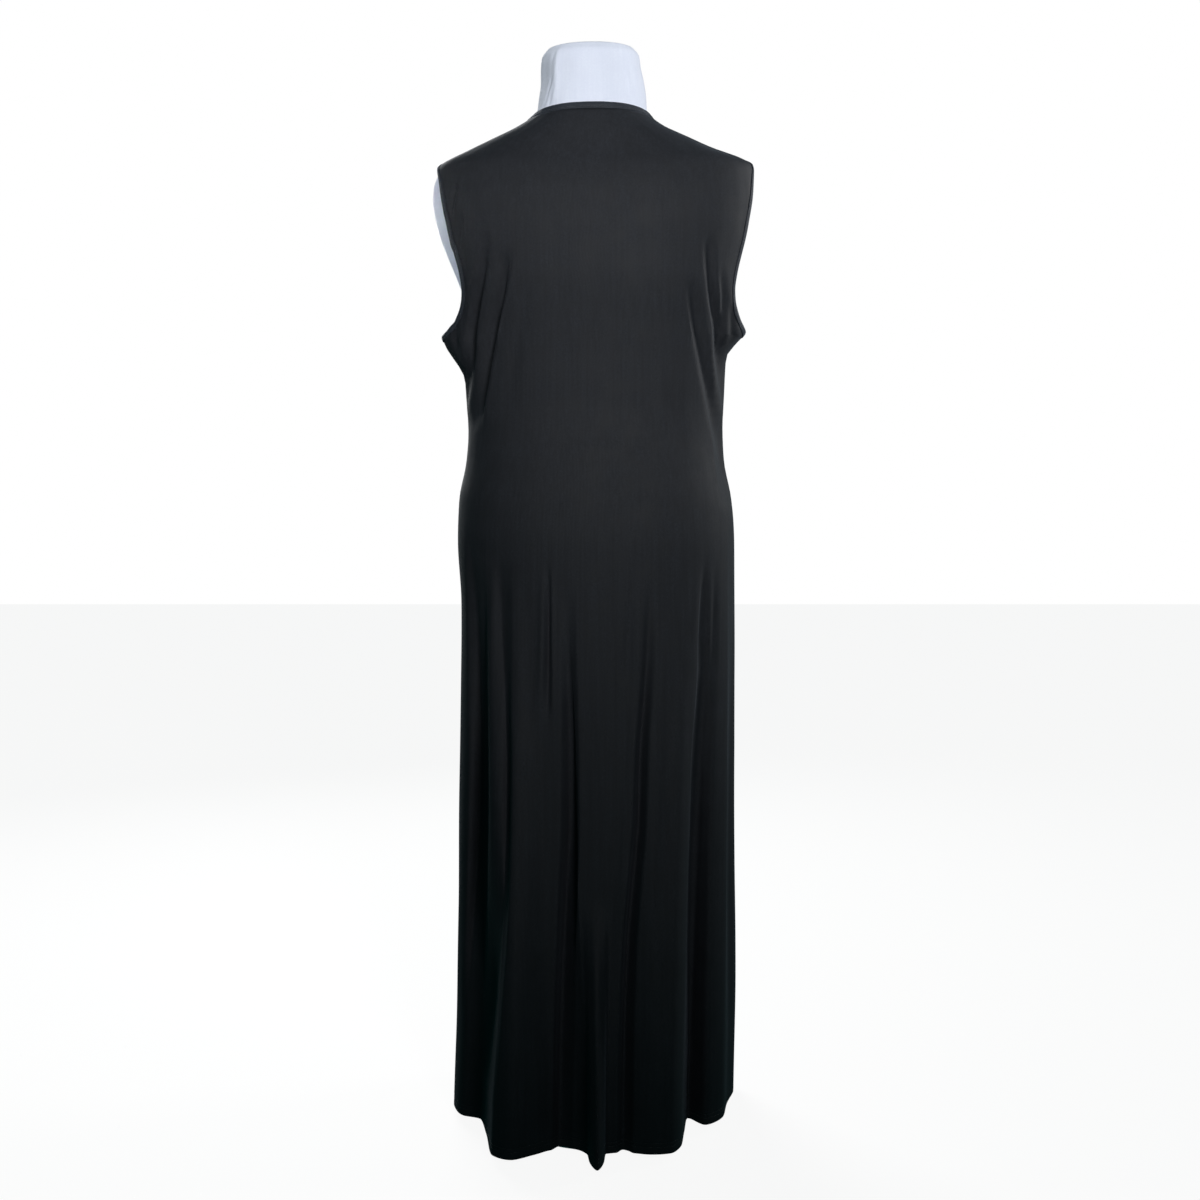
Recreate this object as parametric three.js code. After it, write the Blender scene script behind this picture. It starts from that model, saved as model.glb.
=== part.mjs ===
// Sleeveless maxi dress in black slinky jersey, shown from its back on a white limbless dress form.
//
// Millimetres, +Z up, z = 0 is the floor under the form's base and the origin is the base's middle.
// The dress faces -Y, so its back faces +Y, and +X is the wearer's left. Every height in the tables
// is measured up from the hem. Angles run round the body from the left side seam: 90 degrees is the
// middle of the back, 180 the right side seam and 270 the middle of the front.
import * as THREE from 'three';
import { mergeVertices } from 'three/addons/utils/BufferGeometryUtils.js';

// Driving dimensions of the dress.
const hemClearance = 12;
const napeHeight = 1323;
const frontNeckHeight = 1226;
const neckShoulderHeight = 1321;
const neckShoulderDrop = 0.62;
const shoulderTipHeight = 1262;
const underarmHeight = 1045;
const neckBindingWidth = 8;
const armholeBindingWidth = 6.5;
const armholeBindingAngle = 3.2;
const clothWall = 1.2;
const hemWall = 2.0;
const hemDepth = 16;
const hemStep = 2;
const bindingRise = 0.6;
const bindingRound = 0.88;
const seamGap = 0.3;
const clothSquareness = 2.3;
const scoopSquareness = 2.6;
const shoulderSlope = 26;
const foldSharpness = 1.3;

// Driving dimensions of the form, which leans a little towards the wearer's left.
const formSquareness = 2.2;
const formNeckTop = 1411;
const formColumns = 36;
const leanSlope = 0.015;
const leanStart = 770;
const leanFull = 1070;
const poleRadius = 12.5;
const baseRadius = 120;
const basePlate = 8;
const hubRadius = 24;
const hubHeight = 46;
const baseBevel = 2;
const fitGap = 0.3;
const roundSegments = 48;

// Half the opening angle of each armhole, on the back and on the front of the dress.
const armholeOpenings = {
  left: { back: 25.5, front: 36 },
  right: { back: 20, front: 36 },
};

// The dress's level sections, without folds: half widths left and right, depths back and front.
const clothSections = [
  { height: 0, left: 197, right: 192, back: 150, front: 148 },
  { height: 150, left: 191, right: 193, back: 147, front: 144 },
  { height: 424, left: 185, right: 188.5, back: 142, front: 138 },
  { height: 695, left: 178, right: 184, back: 137, front: 130 },
  { height: 775, left: 182, right: 183, back: 136, front: 126 },
  { height: 828, left: 180, right: 179, back: 130, front: 122 },
  { height: 881, left: 170, right: 169, back: 117, front: 116 },
  { height: 920, left: 167, right: 167, back: 107, front: 113 },
  { height: 959, left: 169, right: 169, back: 102, front: 117 },
  { height: 1000, left: 171, right: 171, back: 102, front: 125 },
  { height: 1045, left: 174, right: 175, back: 105, front: 132 },
  { height: 1092, left: 181, right: 188, back: 110, front: 131 },
  { height: 1118, left: 186, right: 194, back: 112, front: 125 },
  { height: 1176, left: 202, right: 209, back: 111, front: 108 },
  { height: 1215, left: 208, right: 214, back: 105, front: 95 },
  { height: 1246, left: 207, right: 213, back: 95, front: 84 },
  { height: 1262, left: 197, right: 199, back: 87.5, front: 78 },
  { height: 1277, left: 165, right: 159, back: 81, front: 73 },
  { height: 1292, left: 132, right: 126, back: 75, front: 68 },
  { height: 1307, left: 99, right: 94, back: 69, front: 62 },
  { height: 1322, left: 76, right: 76, back: 62.5, front: 58 },
  { height: 1330, left: 72, right: 73, back: 60, front: 56 },
];

// The hem's turns in plan, with the height at which each fold starts to show.
const hemTurns = [
  { name: 'left seam', angle: 0, x: 197, y: -35, start: 720 },
  { name: 'left side', angle: 14, x: 195, y: 2, start: 720 },
  { name: 'left shelf outer', angle: 26, x: 181, y: 38, start: 720 },
  { name: 'left shelf inner', angle: 37, x: 156, y: 50, start: 740 },
  { name: 'left wall', angle: 43, x: 144, y: 98, start: 740 },
  { name: 'left crest outer', angle: 50, x: 132, y: 160, start: 740 },
  { name: 'left crest', angle: 59, x: 108, y: 174, start: 740 },
  { name: 'left slope', angle: 67, x: 80, y: 160, start: 700 },
  { name: 'left hollow outer', angle: 76, x: 51, y: 144, start: 700 },
  { name: 'left hollow', angle: 81, x: 31, y: 142, start: 700 },
  { name: 'tongue left foot', angle: 86, x: 11, y: 157, start: 330 },
  { name: 'tongue left side', angle: 88, x: 7, y: 183, start: 330 },
  { name: 'tongue', angle: 90, x: -2, y: 203, start: 330 },
  { name: 'tongue right side', angle: 92, x: -10, y: 183, start: 330 },
  { name: 'tongue right foot', angle: 94, x: -13, y: 156, start: 330 },
  { name: 'right hollow', angle: 104, x: -38, y: 153, start: 700 },
  { name: 'right slope', angle: 116, x: -70, y: 159, start: 700 },
  { name: 'right crest', angle: 125, x: -96, y: 155, start: 740 },
  { name: 'right crest outer', angle: 131, x: -110, y: 134, start: 740 },
  { name: 'right wall', angle: 135, x: -116, y: 92, start: 740 },
  { name: 'right valley', angle: 139, x: -123, y: 48, start: 740 },
  { name: 'right ridge', angle: 148, x: -145, y: 69, start: 720 },
  { name: 'right side lobe', angle: 159, x: -170, y: 45, start: 720 },
  { name: 'right side', angle: 169, x: -180, y: 0, start: 720 },
  { name: 'right seam', angle: 180, x: -192, y: -44, start: 720 },
  { name: 'front right side', angle: 197, x: -195, y: -90, start: 700 },
  { name: 'front right valley', angle: 211, x: -150, y: -96, start: 700 },
  { name: 'front right crest', angle: 224, x: -128, y: -150, start: 720 },
  { name: 'front right hollow', angle: 239, x: -88, y: -136, start: 700 },
  { name: 'front middle right crest', angle: 252, x: -50, y: -160, start: 690 },
  { name: 'front middle hollow', angle: 265, x: -14, y: -138, start: 640 },
  { name: 'front middle left crest', angle: 278, x: 22, y: -161, start: 690 },
  { name: 'front left hollow', angle: 291, x: 60, y: -140, start: 700 },
  { name: 'front left crest', angle: 304, x: 96, y: -160, start: 720 },
  { name: 'front left wall', angle: 318, x: 128, y: -118, start: 700 },
  { name: 'front left lobe', angle: 331, x: 162, y: -117, start: 700 },
  { name: 'front left side', angle: 346, x: 191, y: -84, start: 700 },
  { name: 'left seam again', angle: 360, x: 197, y: -35, start: 720 },
];

// Soft troughs drawn by the cloth's weight: the line of each, its half width and its depth.
const troughs = [
  { name: 'back left long', face: 1, topX: 137, topHeight: 1175, endX: 150, endHeight: 955, half: 15, depth: 7 },
  { name: 'back left inner', face: 1, topX: 108, topHeight: 1150, endX: 146, endHeight: 905, half: 15, depth: 5 },
  { name: 'back right long', face: 1, topX: -118, topHeight: 1150, endX: -150, endHeight: 900, half: 15, depth: 6 },
  { name: 'back right outer', face: 1, topX: -147, topHeight: 1180, endX: -162, endHeight: 960, half: 14, depth: 6 },
  { name: 'back skirt middle', face: 1, topX: -72, topHeight: 690, endX: -41, endHeight: 60, half: 15, depth: 9 },
  { name: 'front left long', face: -1, topX: 126, topHeight: 1080, endX: 140, endHeight: 860, half: 16, depth: 7 },
  { name: 'front right long', face: -1, topX: -122, topHeight: 1080, endX: -138, endHeight: 880, half: 16, depth: 7 },
];

// The points of slack cloth that stand out under each armhole.
const underarmWings = [
  { name: 'left', side: 1, out: 25, top: 1104, peak: 1044, end: 985, spread: 20 },
  { name: 'right', side: -1, out: 23, top: 1104, peak: 1048, end: 1010, spread: 20 },
];

// The form's level sections, smooth all over.
const formSections = [
  { height: 670, left: 166, right: 166, back: 116, front: 96 },
  { height: 725, left: 170, right: 170, back: 122, front: 100 },
  { height: 775, left: 171, right: 171, back: 123, front: 102 },
  { height: 828, left: 165, right: 165, back: 116, front: 100 },
  { height: 881, left: 147, right: 147, back: 100, front: 94 },
  { height: 935, left: 127, right: 127, back: 88, front: 90 },
  { height: 990, left: 134, right: 134, back: 88, front: 102 },
  { height: 1045, left: 152, right: 152, back: 92, front: 119 },
  { height: 1085, left: 166, right: 168, back: 97, front: 124 },
  { height: 1118, left: 179, right: 181, back: 102, front: 116 },
  { height: 1146, left: 190, right: 191, back: 104, front: 108 },
  { height: 1176, left: 198, right: 199, back: 103, front: 99 },
  { height: 1215, left: 204, right: 206, back: 97, front: 86 },
  { height: 1233, left: 204.5, right: 206, back: 92, front: 80 },
  { height: 1246, left: 202.5, right: 203.5, back: 88, front: 76 },
  { height: 1255, left: 198, right: 199.5, back: 84, front: 73 },
  { height: 1262, left: 191.5, right: 192, back: 80, front: 71 },
  { height: 1277, left: 160.5, right: 154.5, back: 75, front: 66 },
  { height: 1292, left: 127.5, right: 121.5, back: 69, front: 61 },
  { height: 1307, left: 93.5, right: 89, back: 63, front: 56 },
  { height: 1322, left: 71, right: 72.5, back: 57.5, front: 53 },
  { height: 1344, left: 67.5, right: 71.5, back: 55.5, front: 52 },
  { height: 1363, left: 64.5, right: 69, back: 55, front: 52 },
  { height: 1382, left: 64, right: 65, back: 55, front: 52 },
  { height: 1397, left: 62, right: 63, back: 53, front: 50 },
  { height: 1404, left: 56, right: 57, back: 47, front: 44 },
];

// Heights of the grid lines below the underarm, close together where the outline turns.
const lowerRows = [
  0, hemDepth, hemDepth + hemStep, 75, 140, 210, 280, 350, 425, 500, 565, 625, 680, 730, 780, 830,
  880, 920, 960, 992, 1016,
];
const armholeRows = 10;
const shoulderRows = 5;

const radian = Math.PI / 180;

const jersey = new THREE.MeshStandardMaterial({ color: 0x24262a, roughness: 0.62, metalness: 0 });
const bindingJersey = new THREE.MeshStandardMaterial({ color: 0x1f2124, roughness: 0.62, metalness: 0 });
const coverJersey = new THREE.MeshStandardMaterial({ color: 0xe9ecf2, roughness: 0.8, metalness: 0 });
const brushedSteel = new THREE.MeshStandardMaterial({ color: 0xb9bcc0, roughness: 0.32, metalness: 1 });
const paintedSteel = new THREE.MeshStandardMaterial({ color: 0xe4e6e8, roughness: 0.45, metalness: 0.2 });

// Smooth value of a table's column at a place along its key column, with no overshoot between rows.
function sample(table, key, column, at) {
  const last = table.length - 1;
  if (at <= table[0][key]) return table[0][column];
  if (at >= table[last][key]) return table[last][column];
  let low = 0;
  while (table[low + 1][key] < at) low += 1;
  const run = (row) => table[row + 1][key] - table[row][key];
  const rise = (row) => (table[row + 1][column] - table[row][column]) / run(row);
  const slope = (row) => {
    if (row === 0) return rise(0);
    if (row === last) return rise(last - 1);
    const product = rise(row - 1) * rise(row);
    return product <= 0 ? 0 : (2 * product) / (rise(row - 1) + rise(row));
  };
  const t = (at - table[low][key]) / run(low);
  const ease = t * t * (3 - 2 * t);
  const level = table[low][column] * (1 - ease) + table[low + 1][column] * ease;
  const leaving = slope(low) * t * (1 - t) * (1 - t);
  const arriving = slope(low + 1) * t * t * (1 - t);
  return level + run(low) * (leaving - arriving);
}

// A point on a level section with rounded sides.
function sectionPoint(table, squareness, angle, height) {
  const power = 2 / squareness;
  const across = Math.cos(angle * radian);
  const along = Math.sin(angle * radian);
  const half = sample(table, 'height', across >= 0 ? 'left' : 'right', height);
  const depth = sample(table, 'height', along >= 0 ? 'back' : 'front', height);
  const x = Math.sign(across) * half * Math.abs(across) ** power;
  const y = Math.sign(along) * depth * Math.abs(along) ** power;
  return new THREE.Vector2(x, y);
}

// The level direction that points away from a section.
function sectionOutward(table, squareness, angle, height) {
  const step = 1;
  const before = sectionPoint(table, squareness, angle - step, height);
  const after = sectionPoint(table, squareness, angle + step, height);
  const tangent = after.sub(before).normalize();
  return new THREE.Vector2(tangent.y, -tangent.x);
}

// How far a fold has opened at a height, from nothing where it starts to all of it at the hem.
function foldGrowth(angle, height) {
  const start = sample(hemTurns, 'angle', 'start', angle);
  const share = THREE.MathUtils.clamp((start - height) / start, 0, 1);
  return Math.sin((share * Math.PI) / 2) ** foldSharpness;
}

// How deep the troughs are at a place on the back (face 1) or the front (face -1).
function troughDepth(face, x, height) {
  let depth = 0;
  for (const trough of troughs.filter((row) => row.face === face)) {
    const line = new THREE.Vector2(trough.endX - trough.topX, trough.endHeight - trough.topHeight);
    const from = new THREE.Vector2(x - trough.topX, height - trough.topHeight);
    const share = THREE.MathUtils.clamp(from.dot(line) / line.lengthSq(), 0, 1);
    const distance = from.sub(line.multiplyScalar(share)).length() / trough.half;
    depth += trough.depth * Math.exp(-distance * distance) * Math.sqrt(Math.sin(Math.PI * share));
  }
  return depth;
}

// How far a wing of slack cloth stands out beside the armhole's lower end.
function wingReach(angle, height) {
  let reach = 0;
  for (const wing of underarmWings) {
    const turned = wing.side > 0 ? Math.min(angle, 360 - angle) : Math.abs(angle - 180);
    const span = height > wing.peak ? wing.top - wing.peak : wing.peak - wing.end;
    const away = THREE.MathUtils.clamp(Math.abs(height - wing.peak) / span, 0, 1);
    const across = (turned / wing.spread) ** 2;
    reach += wing.side * wing.out * (1 - THREE.MathUtils.smoothstep(away, 0, 1)) * Math.exp(-across);
  }
  return reach;
}

// The form and the top of the dress lean together: a growing turn about a line from front to back.
function lean(point) {
  const above = THREE.MathUtils.clamp(point.z - leanStart, 0, leanFull - leanStart);
  const share = above / (leanFull - leanStart);
  const turnedLength = (leanFull - leanStart) * (share ** 3 - share ** 4 / 2);
  const beyond = Math.max(0, point.z - leanFull);
  const turn = THREE.MathUtils.smoothstep(point.z, leanStart, leanFull);
  const height = point.z - leanSlope * point.x * turn;
  return new THREE.Vector3(point.x + leanSlope * (turnedLength + beyond), point.y, hemClearance + height);
}

// The outer face of the cloth at an angle and a height.
function clothPoint(angle, height) {
  const turn = (angle + 360) % 360;
  const point = sectionPoint(clothSections, clothSquareness, turn, height);
  const outward = sectionOutward(clothSections, clothSquareness, turn, height);
  const face = turn < 180 ? 1 : -1;
  point.addScaledVector(outward, -troughDepth(face, point.x, height));
  point.x += wingReach(turn, height);
  const hemRound = sectionPoint(clothSections, clothSquareness, turn, 0);
  const hemTurn = new THREE.Vector2(sample(hemTurns, 'angle', 'x', turn), sample(hemTurns, 'angle', 'y', turn));
  point.addScaledVector(hemTurn.sub(hemRound), foldGrowth(turn, height));
  return lean(new THREE.Vector3(point.x, point.y, height));
}

// The direction out of the cloth at an angle and a height.
function clothOutward(angle, height) {
  const turnStep = 0.6;
  const heightStep = 3;
  const around = clothPoint(angle + turnStep, height).sub(clothPoint(angle - turnStep, height));
  const up = clothPoint(angle, height + heightStep).sub(clothPoint(angle, Math.max(0, height - heightStep)));
  return around.cross(up).normalize();
}

// Half the opening angle of an armhole at a share of its height, from its lowest point to its top.
function armholeAngle(openAngle, share) {
  const inside = Math.max(0, 1 - Math.abs(2 * share - 1) ** 3);
  return openAngle * Math.sqrt(inside);
}

// The height of the neckline above the hem at an angle, for the cloth's edge or the binding's edge.
function necklineHeight(angle, drop) {
  const shoulder = neckShoulderHeight - drop * neckShoulderDrop;
  const front = angle > 180;
  if (!front) return shoulder + (napeHeight - drop - shoulder) * Math.sin(angle * radian);
  const middle = frontNeckHeight - drop;
  const side = Math.cos(angle * radian) < 0 ? 'right' : 'left';
  const halfNeck = sample(clothSections, 'height', side, shoulder);
  let low = middle;
  let high = shoulder;
  for (let pass = 0; pass < 30; pass += 1) {
    const height = (low + high) / 2;
    const across = Math.abs(sectionPoint(clothSections, clothSquareness, angle, height).x);
    const scoop = halfNeck * ((height - middle) / (shoulder - middle)) ** (1 / scoopSquareness);
    if (across > scoop) low = height;
    else high = height;
  }
  return (low + high) / 2;
}

// A point of an armhole's edge: the cloth's own edge, or the binding's when bound is true.
function armholeEdge(side, face, share, bound) {
  const openAngle = armholeOpenings[side][face];
  const width = bound ? 0 : armholeBindingWidth;
  const low = underarmHeight - width;
  const high = shoulderTipHeight + width * Math.sin(shoulderSlope * radian);
  const angle = armholeAngle(openAngle + (bound ? 0 : armholeBindingAngle), share);
  return { angle, height: low + share * (high - low) };
}

// Shares of an armhole's height, closer together at its two round ends.
const armholeShares = Array.from({ length: armholeRows + 1 }, (unused, row) => {
  return (1 - Math.cos((Math.PI * row) / armholeRows)) / 2;
});

// The rows of a panel along its side edge, each with the angles that the armholes take from it.
function panelRows(face) {
  const rows = lowerRows.map((height) => ({ height, left: 0, right: 0 }));
  for (const share of armholeShares) {
    const left = armholeEdge('left', face, share, false);
    const right = armholeEdge('right', face, share, false);
    rows.push({ height: left.height, left: left.angle, right: right.angle });
  }
  const tip = rows[rows.length - 1].height;
  const neck = necklineHeight(0, neckBindingWidth);
  for (let row = 1; row <= shoulderRows; row += 1) {
    rows.push({ height: tip + ((neck - tip) * row) / shoulderRows, left: 0, right: 0 });
  }
  return rows;
}

// The angles of a panel's columns: every turn of the hem, and places between them.
function panelAngles(from, to, between) {
  const turns = hemTurns.map((turn) => turn.angle).filter((angle) => angle >= from && angle <= to);
  const angles = [turns[0]];
  for (let turn = 1; turn < turns.length; turn += 1) {
    for (let part = 1; part <= between; part += 1) {
      angles.push(turns[turn - 1] + ((turns[turn] - turns[turn - 1]) * part) / between);
    }
  }
  return angles;
}

// Height of a panel's row at a column: level below the underarm, bent up to the neckline above it.
function rowHeight(row, angle) {
  const low = underarmHeight - armholeBindingWidth;
  if (row.height <= low) return row.height;
  const side = necklineHeight(0, neckBindingWidth);
  const share = (row.height - low) / (side - low);
  return low + share * (necklineHeight(angle, neckBindingWidth) - low);
}

// Move a point a little way towards a neighbour, to leave the gap of a seam.
function pullTowards(point, neighbour, distance) {
  const direction = neighbour.clone().sub(point).normalize();
  point.addScaledVector(direction, distance);
}

// One face of a panel as rows of points: the outer face, or the inner one by the wall's thickness.
function panelFace(rows, angles, middle, inside) {
  const points = rows.map((row) => angles.map((column) => {
    const side = Math.cos(column * radian) > 0 ? 'left' : 'right';
    const away = column - middle;
    const angle = column - (Math.sign(away) * row[side] * away * away) / (90 * 90);
    const height = rowHeight(row, column);
    const wall = height <= hemDepth ? hemWall : clothWall;
    const point = clothPoint(angle, height);
    return inside ? point.addScaledVector(clothOutward(angle, height), -wall) : point;
  }));
  const last = angles.length - 1;
  for (const line of points) {
    pullTowards(line[0], line[1], seamGap / 2);
    pullTowards(line[last], line[last - 1], seamGap / 2);
  }
  const top = points.length - 1;
  points[top].forEach((point, column) => pullTowards(point, points[top - 1][column], seamGap / 2));
  return points;
}

// A closed body from positions and triangles, turned so that its faces point outwards.
function closedBody(positions, triangles) {
  const geometry = new THREE.BufferGeometry();
  geometry.setAttribute('position', new THREE.Float32BufferAttribute(positions, 3));
  geometry.setIndex(triangles);
  let volume = 0;
  const corners = [new THREE.Vector3(), new THREE.Vector3(), new THREE.Vector3()];
  for (let start = 0; start < triangles.length; start += 3) {
    corners.forEach((corner, place) => corner.fromArray(positions, 3 * triangles[start + place]));
    volume += corners[0].dot(corners[1].clone().cross(corners[2]));
  }
  if (volume < 0) geometry.setIndex(triangles.reverse());
  geometry.computeVertexNormals();
  return geometry;
}

// A wall between an outer and an inner face of the same rows and columns. Each four-sided patch is
// split along its shorter diagonal, the same one on both faces, so that the wall keeps its thickness.
function wallBody(outer, inner) {
  const rows = outer.length;
  const columns = outer[0].length;
  const positions = [...outer.flat(), ...inner.flat()].flatMap((point) => point.toArray());
  const at = (face, row, column) => (face * rows + row) * columns + column;
  const triangles = [];
  const quad = (a, b, c, d) => triangles.push(a, b, c, a, c, d);
  for (let row = 0; row < rows - 1; row += 1) {
    for (let column = 0; column < columns - 1; column += 1) {
      const rising = outer[row][column].distanceTo(outer[row + 1][column + 1]);
      const falling = outer[row][column + 1].distanceTo(outer[row + 1][column]);
      const corners = (face) => [
        at(face, row, column),
        at(face, row, column + 1),
        at(face, row + 1, column + 1),
        at(face, row + 1, column),
      ];
      const turned = ([a, b, c, d]) => (rising > falling ? [b, c, d, a] : [a, b, c, d]);
      const mirrored = ([a, b, c, d]) => [a, d, c, b];
      quad(...turned(corners(0)));
      quad(...mirrored(turned(corners(1))));
    }
    quad(at(0, row, 0), at(0, row + 1, 0), at(1, row + 1, 0), at(1, row, 0));
    const end = columns - 1;
    quad(at(0, row, end), at(1, row, end), at(1, row + 1, end), at(0, row + 1, end));
  }
  for (let column = 0; column < columns - 1; column += 1) {
    quad(at(0, 0, column), at(1, 0, column), at(1, 0, column + 1), at(0, 0, column + 1));
    const top = rows - 1;
    quad(at(0, top, column), at(0, top, column + 1), at(1, top, column + 1), at(1, top, column));
  }
  return closedBody(positions, triangles);
}

// A skin through closed sections: joined round to the first one, or closed by a middle at each end.
function loftBody(sections, ends) {
  const sides = sections[0].length;
  const positions = [...sections.flat(), ...ends].flatMap((point) => point.toArray());
  const triangles = [];
  const ring = ends.length === 0;
  const spans = ring ? sections.length : sections.length - 1;
  for (let span = 0; span < spans; span += 1) {
    const near = span * sides;
    const far = ((span + 1) % sections.length) * sides;
    for (let side = 0; side < sides; side += 1) {
      const next = (side + 1) % sides;
      triangles.push(near + side, near + next, far + next, near + side, far + next, far + side);
    }
  }
  if (!ring) {
    const last = (sections.length - 1) * sides;
    const bottom = sections.length * sides;
    for (let side = 0; side < sides; side += 1) {
      const next = (side + 1) % sides;
      triangles.push(bottom, next, side, bottom + 1, last + side, last + next);
    }
  }
  return closedBody(positions, triangles);
}

// The section of a binding where it leaves the cloth's edge, folded over at its own edge.
function bindingSection(clothEdge, boundEdge) {
  const across = (share) => ({
    angle: clothEdge.angle + share * (boundEdge.angle - clothEdge.angle),
    height: clothEdge.height + share * (boundEdge.height - clothEdge.height),
  });
  const lift = (place, distance) => {
    return clothPoint(place.angle, place.height)
      .addScaledVector(clothOutward(place.angle, place.height), distance);
  };
  const points = [
    lift(clothEdge, bindingRise),
    lift(across(bindingRound), bindingRise),
    lift(boundEdge, (bindingRise - clothWall) / 2),
    lift(across(bindingRound), -clothWall),
    lift(clothEdge, -clothWall),
  ];
  pullTowards(points[0], points[1], seamGap);
  pullTowards(points[4], points[3], seamGap);
  return points;
}

// The binding round the neck, a section for each column of the two panels.
function neckBinding(angles) {
  return loftBody(angles.map((angle) => bindingSection(
    { angle, height: necklineHeight(angle, neckBindingWidth) },
    { angle, height: necklineHeight(angle, 0) },
  )), []);
}

// The binding round an armhole: up its back edge and down its front edge.
function armholeBinding(side) {
  const place = (face, share, bound) => {
    const edge = armholeEdge(side, face, share, bound);
    const turned = face === 'back' ? edge.angle : -edge.angle;
    return { angle: side === 'left' ? turned : 180 - turned, height: edge.height };
  };
  const section = (face) => (share) => bindingSection(place(face, share, false), place(face, share, true));
  const up = armholeShares.map(section('back'));
  const down = armholeShares.slice(1, -1).reverse().map(section('front'));
  return loftBody([...up, ...down], []);
}

// The form: one smooth body from its flat underside at the hips to the top of its neck.
function formBody() {
  const sections = formSections.map(({ height }) => {
    return Array.from({ length: formColumns }, (unused, column) => {
      const place = sectionPoint(formSections, formSquareness, (360 * column) / formColumns, height);
      return lean(new THREE.Vector3(place.x, place.y, height));
    });
  });
  const ends = [formSections[0].height, formNeckTop].map((height) => lean(new THREE.Vector3(0, 0, height)));
  return loftBody(sections, ends);
}

// The round weighted base with a socket for the pole.
function baseBody() {
  const socket = poleRadius + fitGap;
  const profile = [
    [0, 0],
    [baseRadius - baseBevel, 0],
    [baseRadius, baseBevel],
    [baseRadius, basePlate - baseBevel],
    [baseRadius - baseBevel, basePlate],
    [hubRadius, basePlate],
    [hubRadius, hubHeight - baseBevel],
    [hubRadius - baseBevel, hubHeight],
    [socket, hubHeight],
    [socket, basePlate],
    [0, basePlate],
  ].map(([radius, height]) => new THREE.Vector2(radius, height));
  return roundBody(new THREE.LatheGeometry(profile, roundSegments));
}

// A turned piece with its axis up and its shared corners joined.
function roundBody(geometry) {
  geometry.rotateX(Math.PI / 2);
  geometry.deleteAttribute('normal');
  geometry.deleteAttribute('uv');
  const merged = mergeVertices(geometry, 0.001);
  const corners = Array.from(merged.index.array);
  const triangles = [];
  for (let start = 0; start < corners.length; start += 3) {
    const [a, b, c] = corners.slice(start, start + 3);
    if (a !== b && b !== c && c !== a) triangles.push(a, b, c);
  }
  return closedBody(Array.from(merged.getAttribute('position').array), triangles);
}

const dress = new THREE.Group();

function addPiece(name, geometry, material) {
  const piece = new THREE.Mesh(geometry, material);
  piece.name = name;
  dress.add(piece);
  return piece;
}

const backAngles = panelAngles(0, 180, 2);
const frontAngles = panelAngles(180, 360, 2);
const backRows = panelRows('back');
const frontRows = panelRows('front');
const panels = [
  { name: 'dress_back', rows: backRows, angles: backAngles, middle: 90 },
  { name: 'dress_front', rows: frontRows, angles: frontAngles, middle: 270 },
];
for (const { name, rows, angles, middle } of panels) {
  const outer = panelFace(rows, angles, middle, false);
  const inner = panelFace(rows, angles, middle, true);
  addPiece(name, wallBody(outer, inner), jersey);
}

const neckAngles = [...backAngles.slice(0, -1), ...frontAngles.slice(0, -1)];
addPiece('neck_binding', neckBinding(neckAngles), bindingJersey);
addPiece('armhole_binding_left', armholeBinding('left'), bindingJersey);
addPiece('armhole_binding_right', armholeBinding('right'), bindingJersey);

addPiece('form_body', formBody(), coverJersey);
const poleBottomZ = basePlate + fitGap;
const poleLength = hemClearance + formSections[0].height - fitGap - poleBottomZ;
const poleShape = roundBody(new THREE.CylinderGeometry(poleRadius, poleRadius, poleLength, roundSegments));
const pole = addPiece('form_pole', poleShape, brushedSteel);
pole.position.z = poleBottomZ + poleLength / 2;
addPiece('form_base', baseBody(), paintedSteel);

export default dress;
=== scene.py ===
# %% [markdown]
# A sleeveless maxi dress on a dress form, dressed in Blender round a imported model.
#
# The real thing is a long black dress in slinky jersey, pulled over a white dress form without
# limbs, and looked at from its back. A maker cuts a back and a front, joins them at the sides and
# shoulders, binds the neck and armholes with folded strips, and turns up the hem with twin stitches.
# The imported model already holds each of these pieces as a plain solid. This lesson gives every one
# of them its fine form and its finish, and moves nothing.

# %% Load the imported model
import math

import bpy
import numpy as np
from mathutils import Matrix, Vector, noise


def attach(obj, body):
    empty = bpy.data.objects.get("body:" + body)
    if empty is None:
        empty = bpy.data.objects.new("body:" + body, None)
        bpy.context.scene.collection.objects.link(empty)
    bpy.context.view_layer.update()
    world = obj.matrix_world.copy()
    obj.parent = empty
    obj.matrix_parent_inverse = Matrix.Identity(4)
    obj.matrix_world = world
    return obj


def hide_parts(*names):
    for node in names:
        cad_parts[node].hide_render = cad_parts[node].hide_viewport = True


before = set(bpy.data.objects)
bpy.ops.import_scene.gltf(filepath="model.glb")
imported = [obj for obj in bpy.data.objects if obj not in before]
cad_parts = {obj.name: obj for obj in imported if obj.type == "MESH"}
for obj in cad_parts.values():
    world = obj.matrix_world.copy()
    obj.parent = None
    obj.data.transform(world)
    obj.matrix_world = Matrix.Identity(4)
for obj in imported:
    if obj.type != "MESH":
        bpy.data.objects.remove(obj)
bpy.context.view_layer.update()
print("packed pieces:", sorted(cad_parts))

# %% [markdown]
# The camera comes first, so that every later step can be looked at from the right place. It stands
# behind the dress, as high as its waist, and looks slightly down through a moderately long lens.

# %% Place the camera
CAMERA_PLACE = (-0.0054, 2.10, 0.912)
CAMERA_DIP = 5.57
CAMERA_LENS = 47.55
CAMERA_SENSOR = 36

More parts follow.
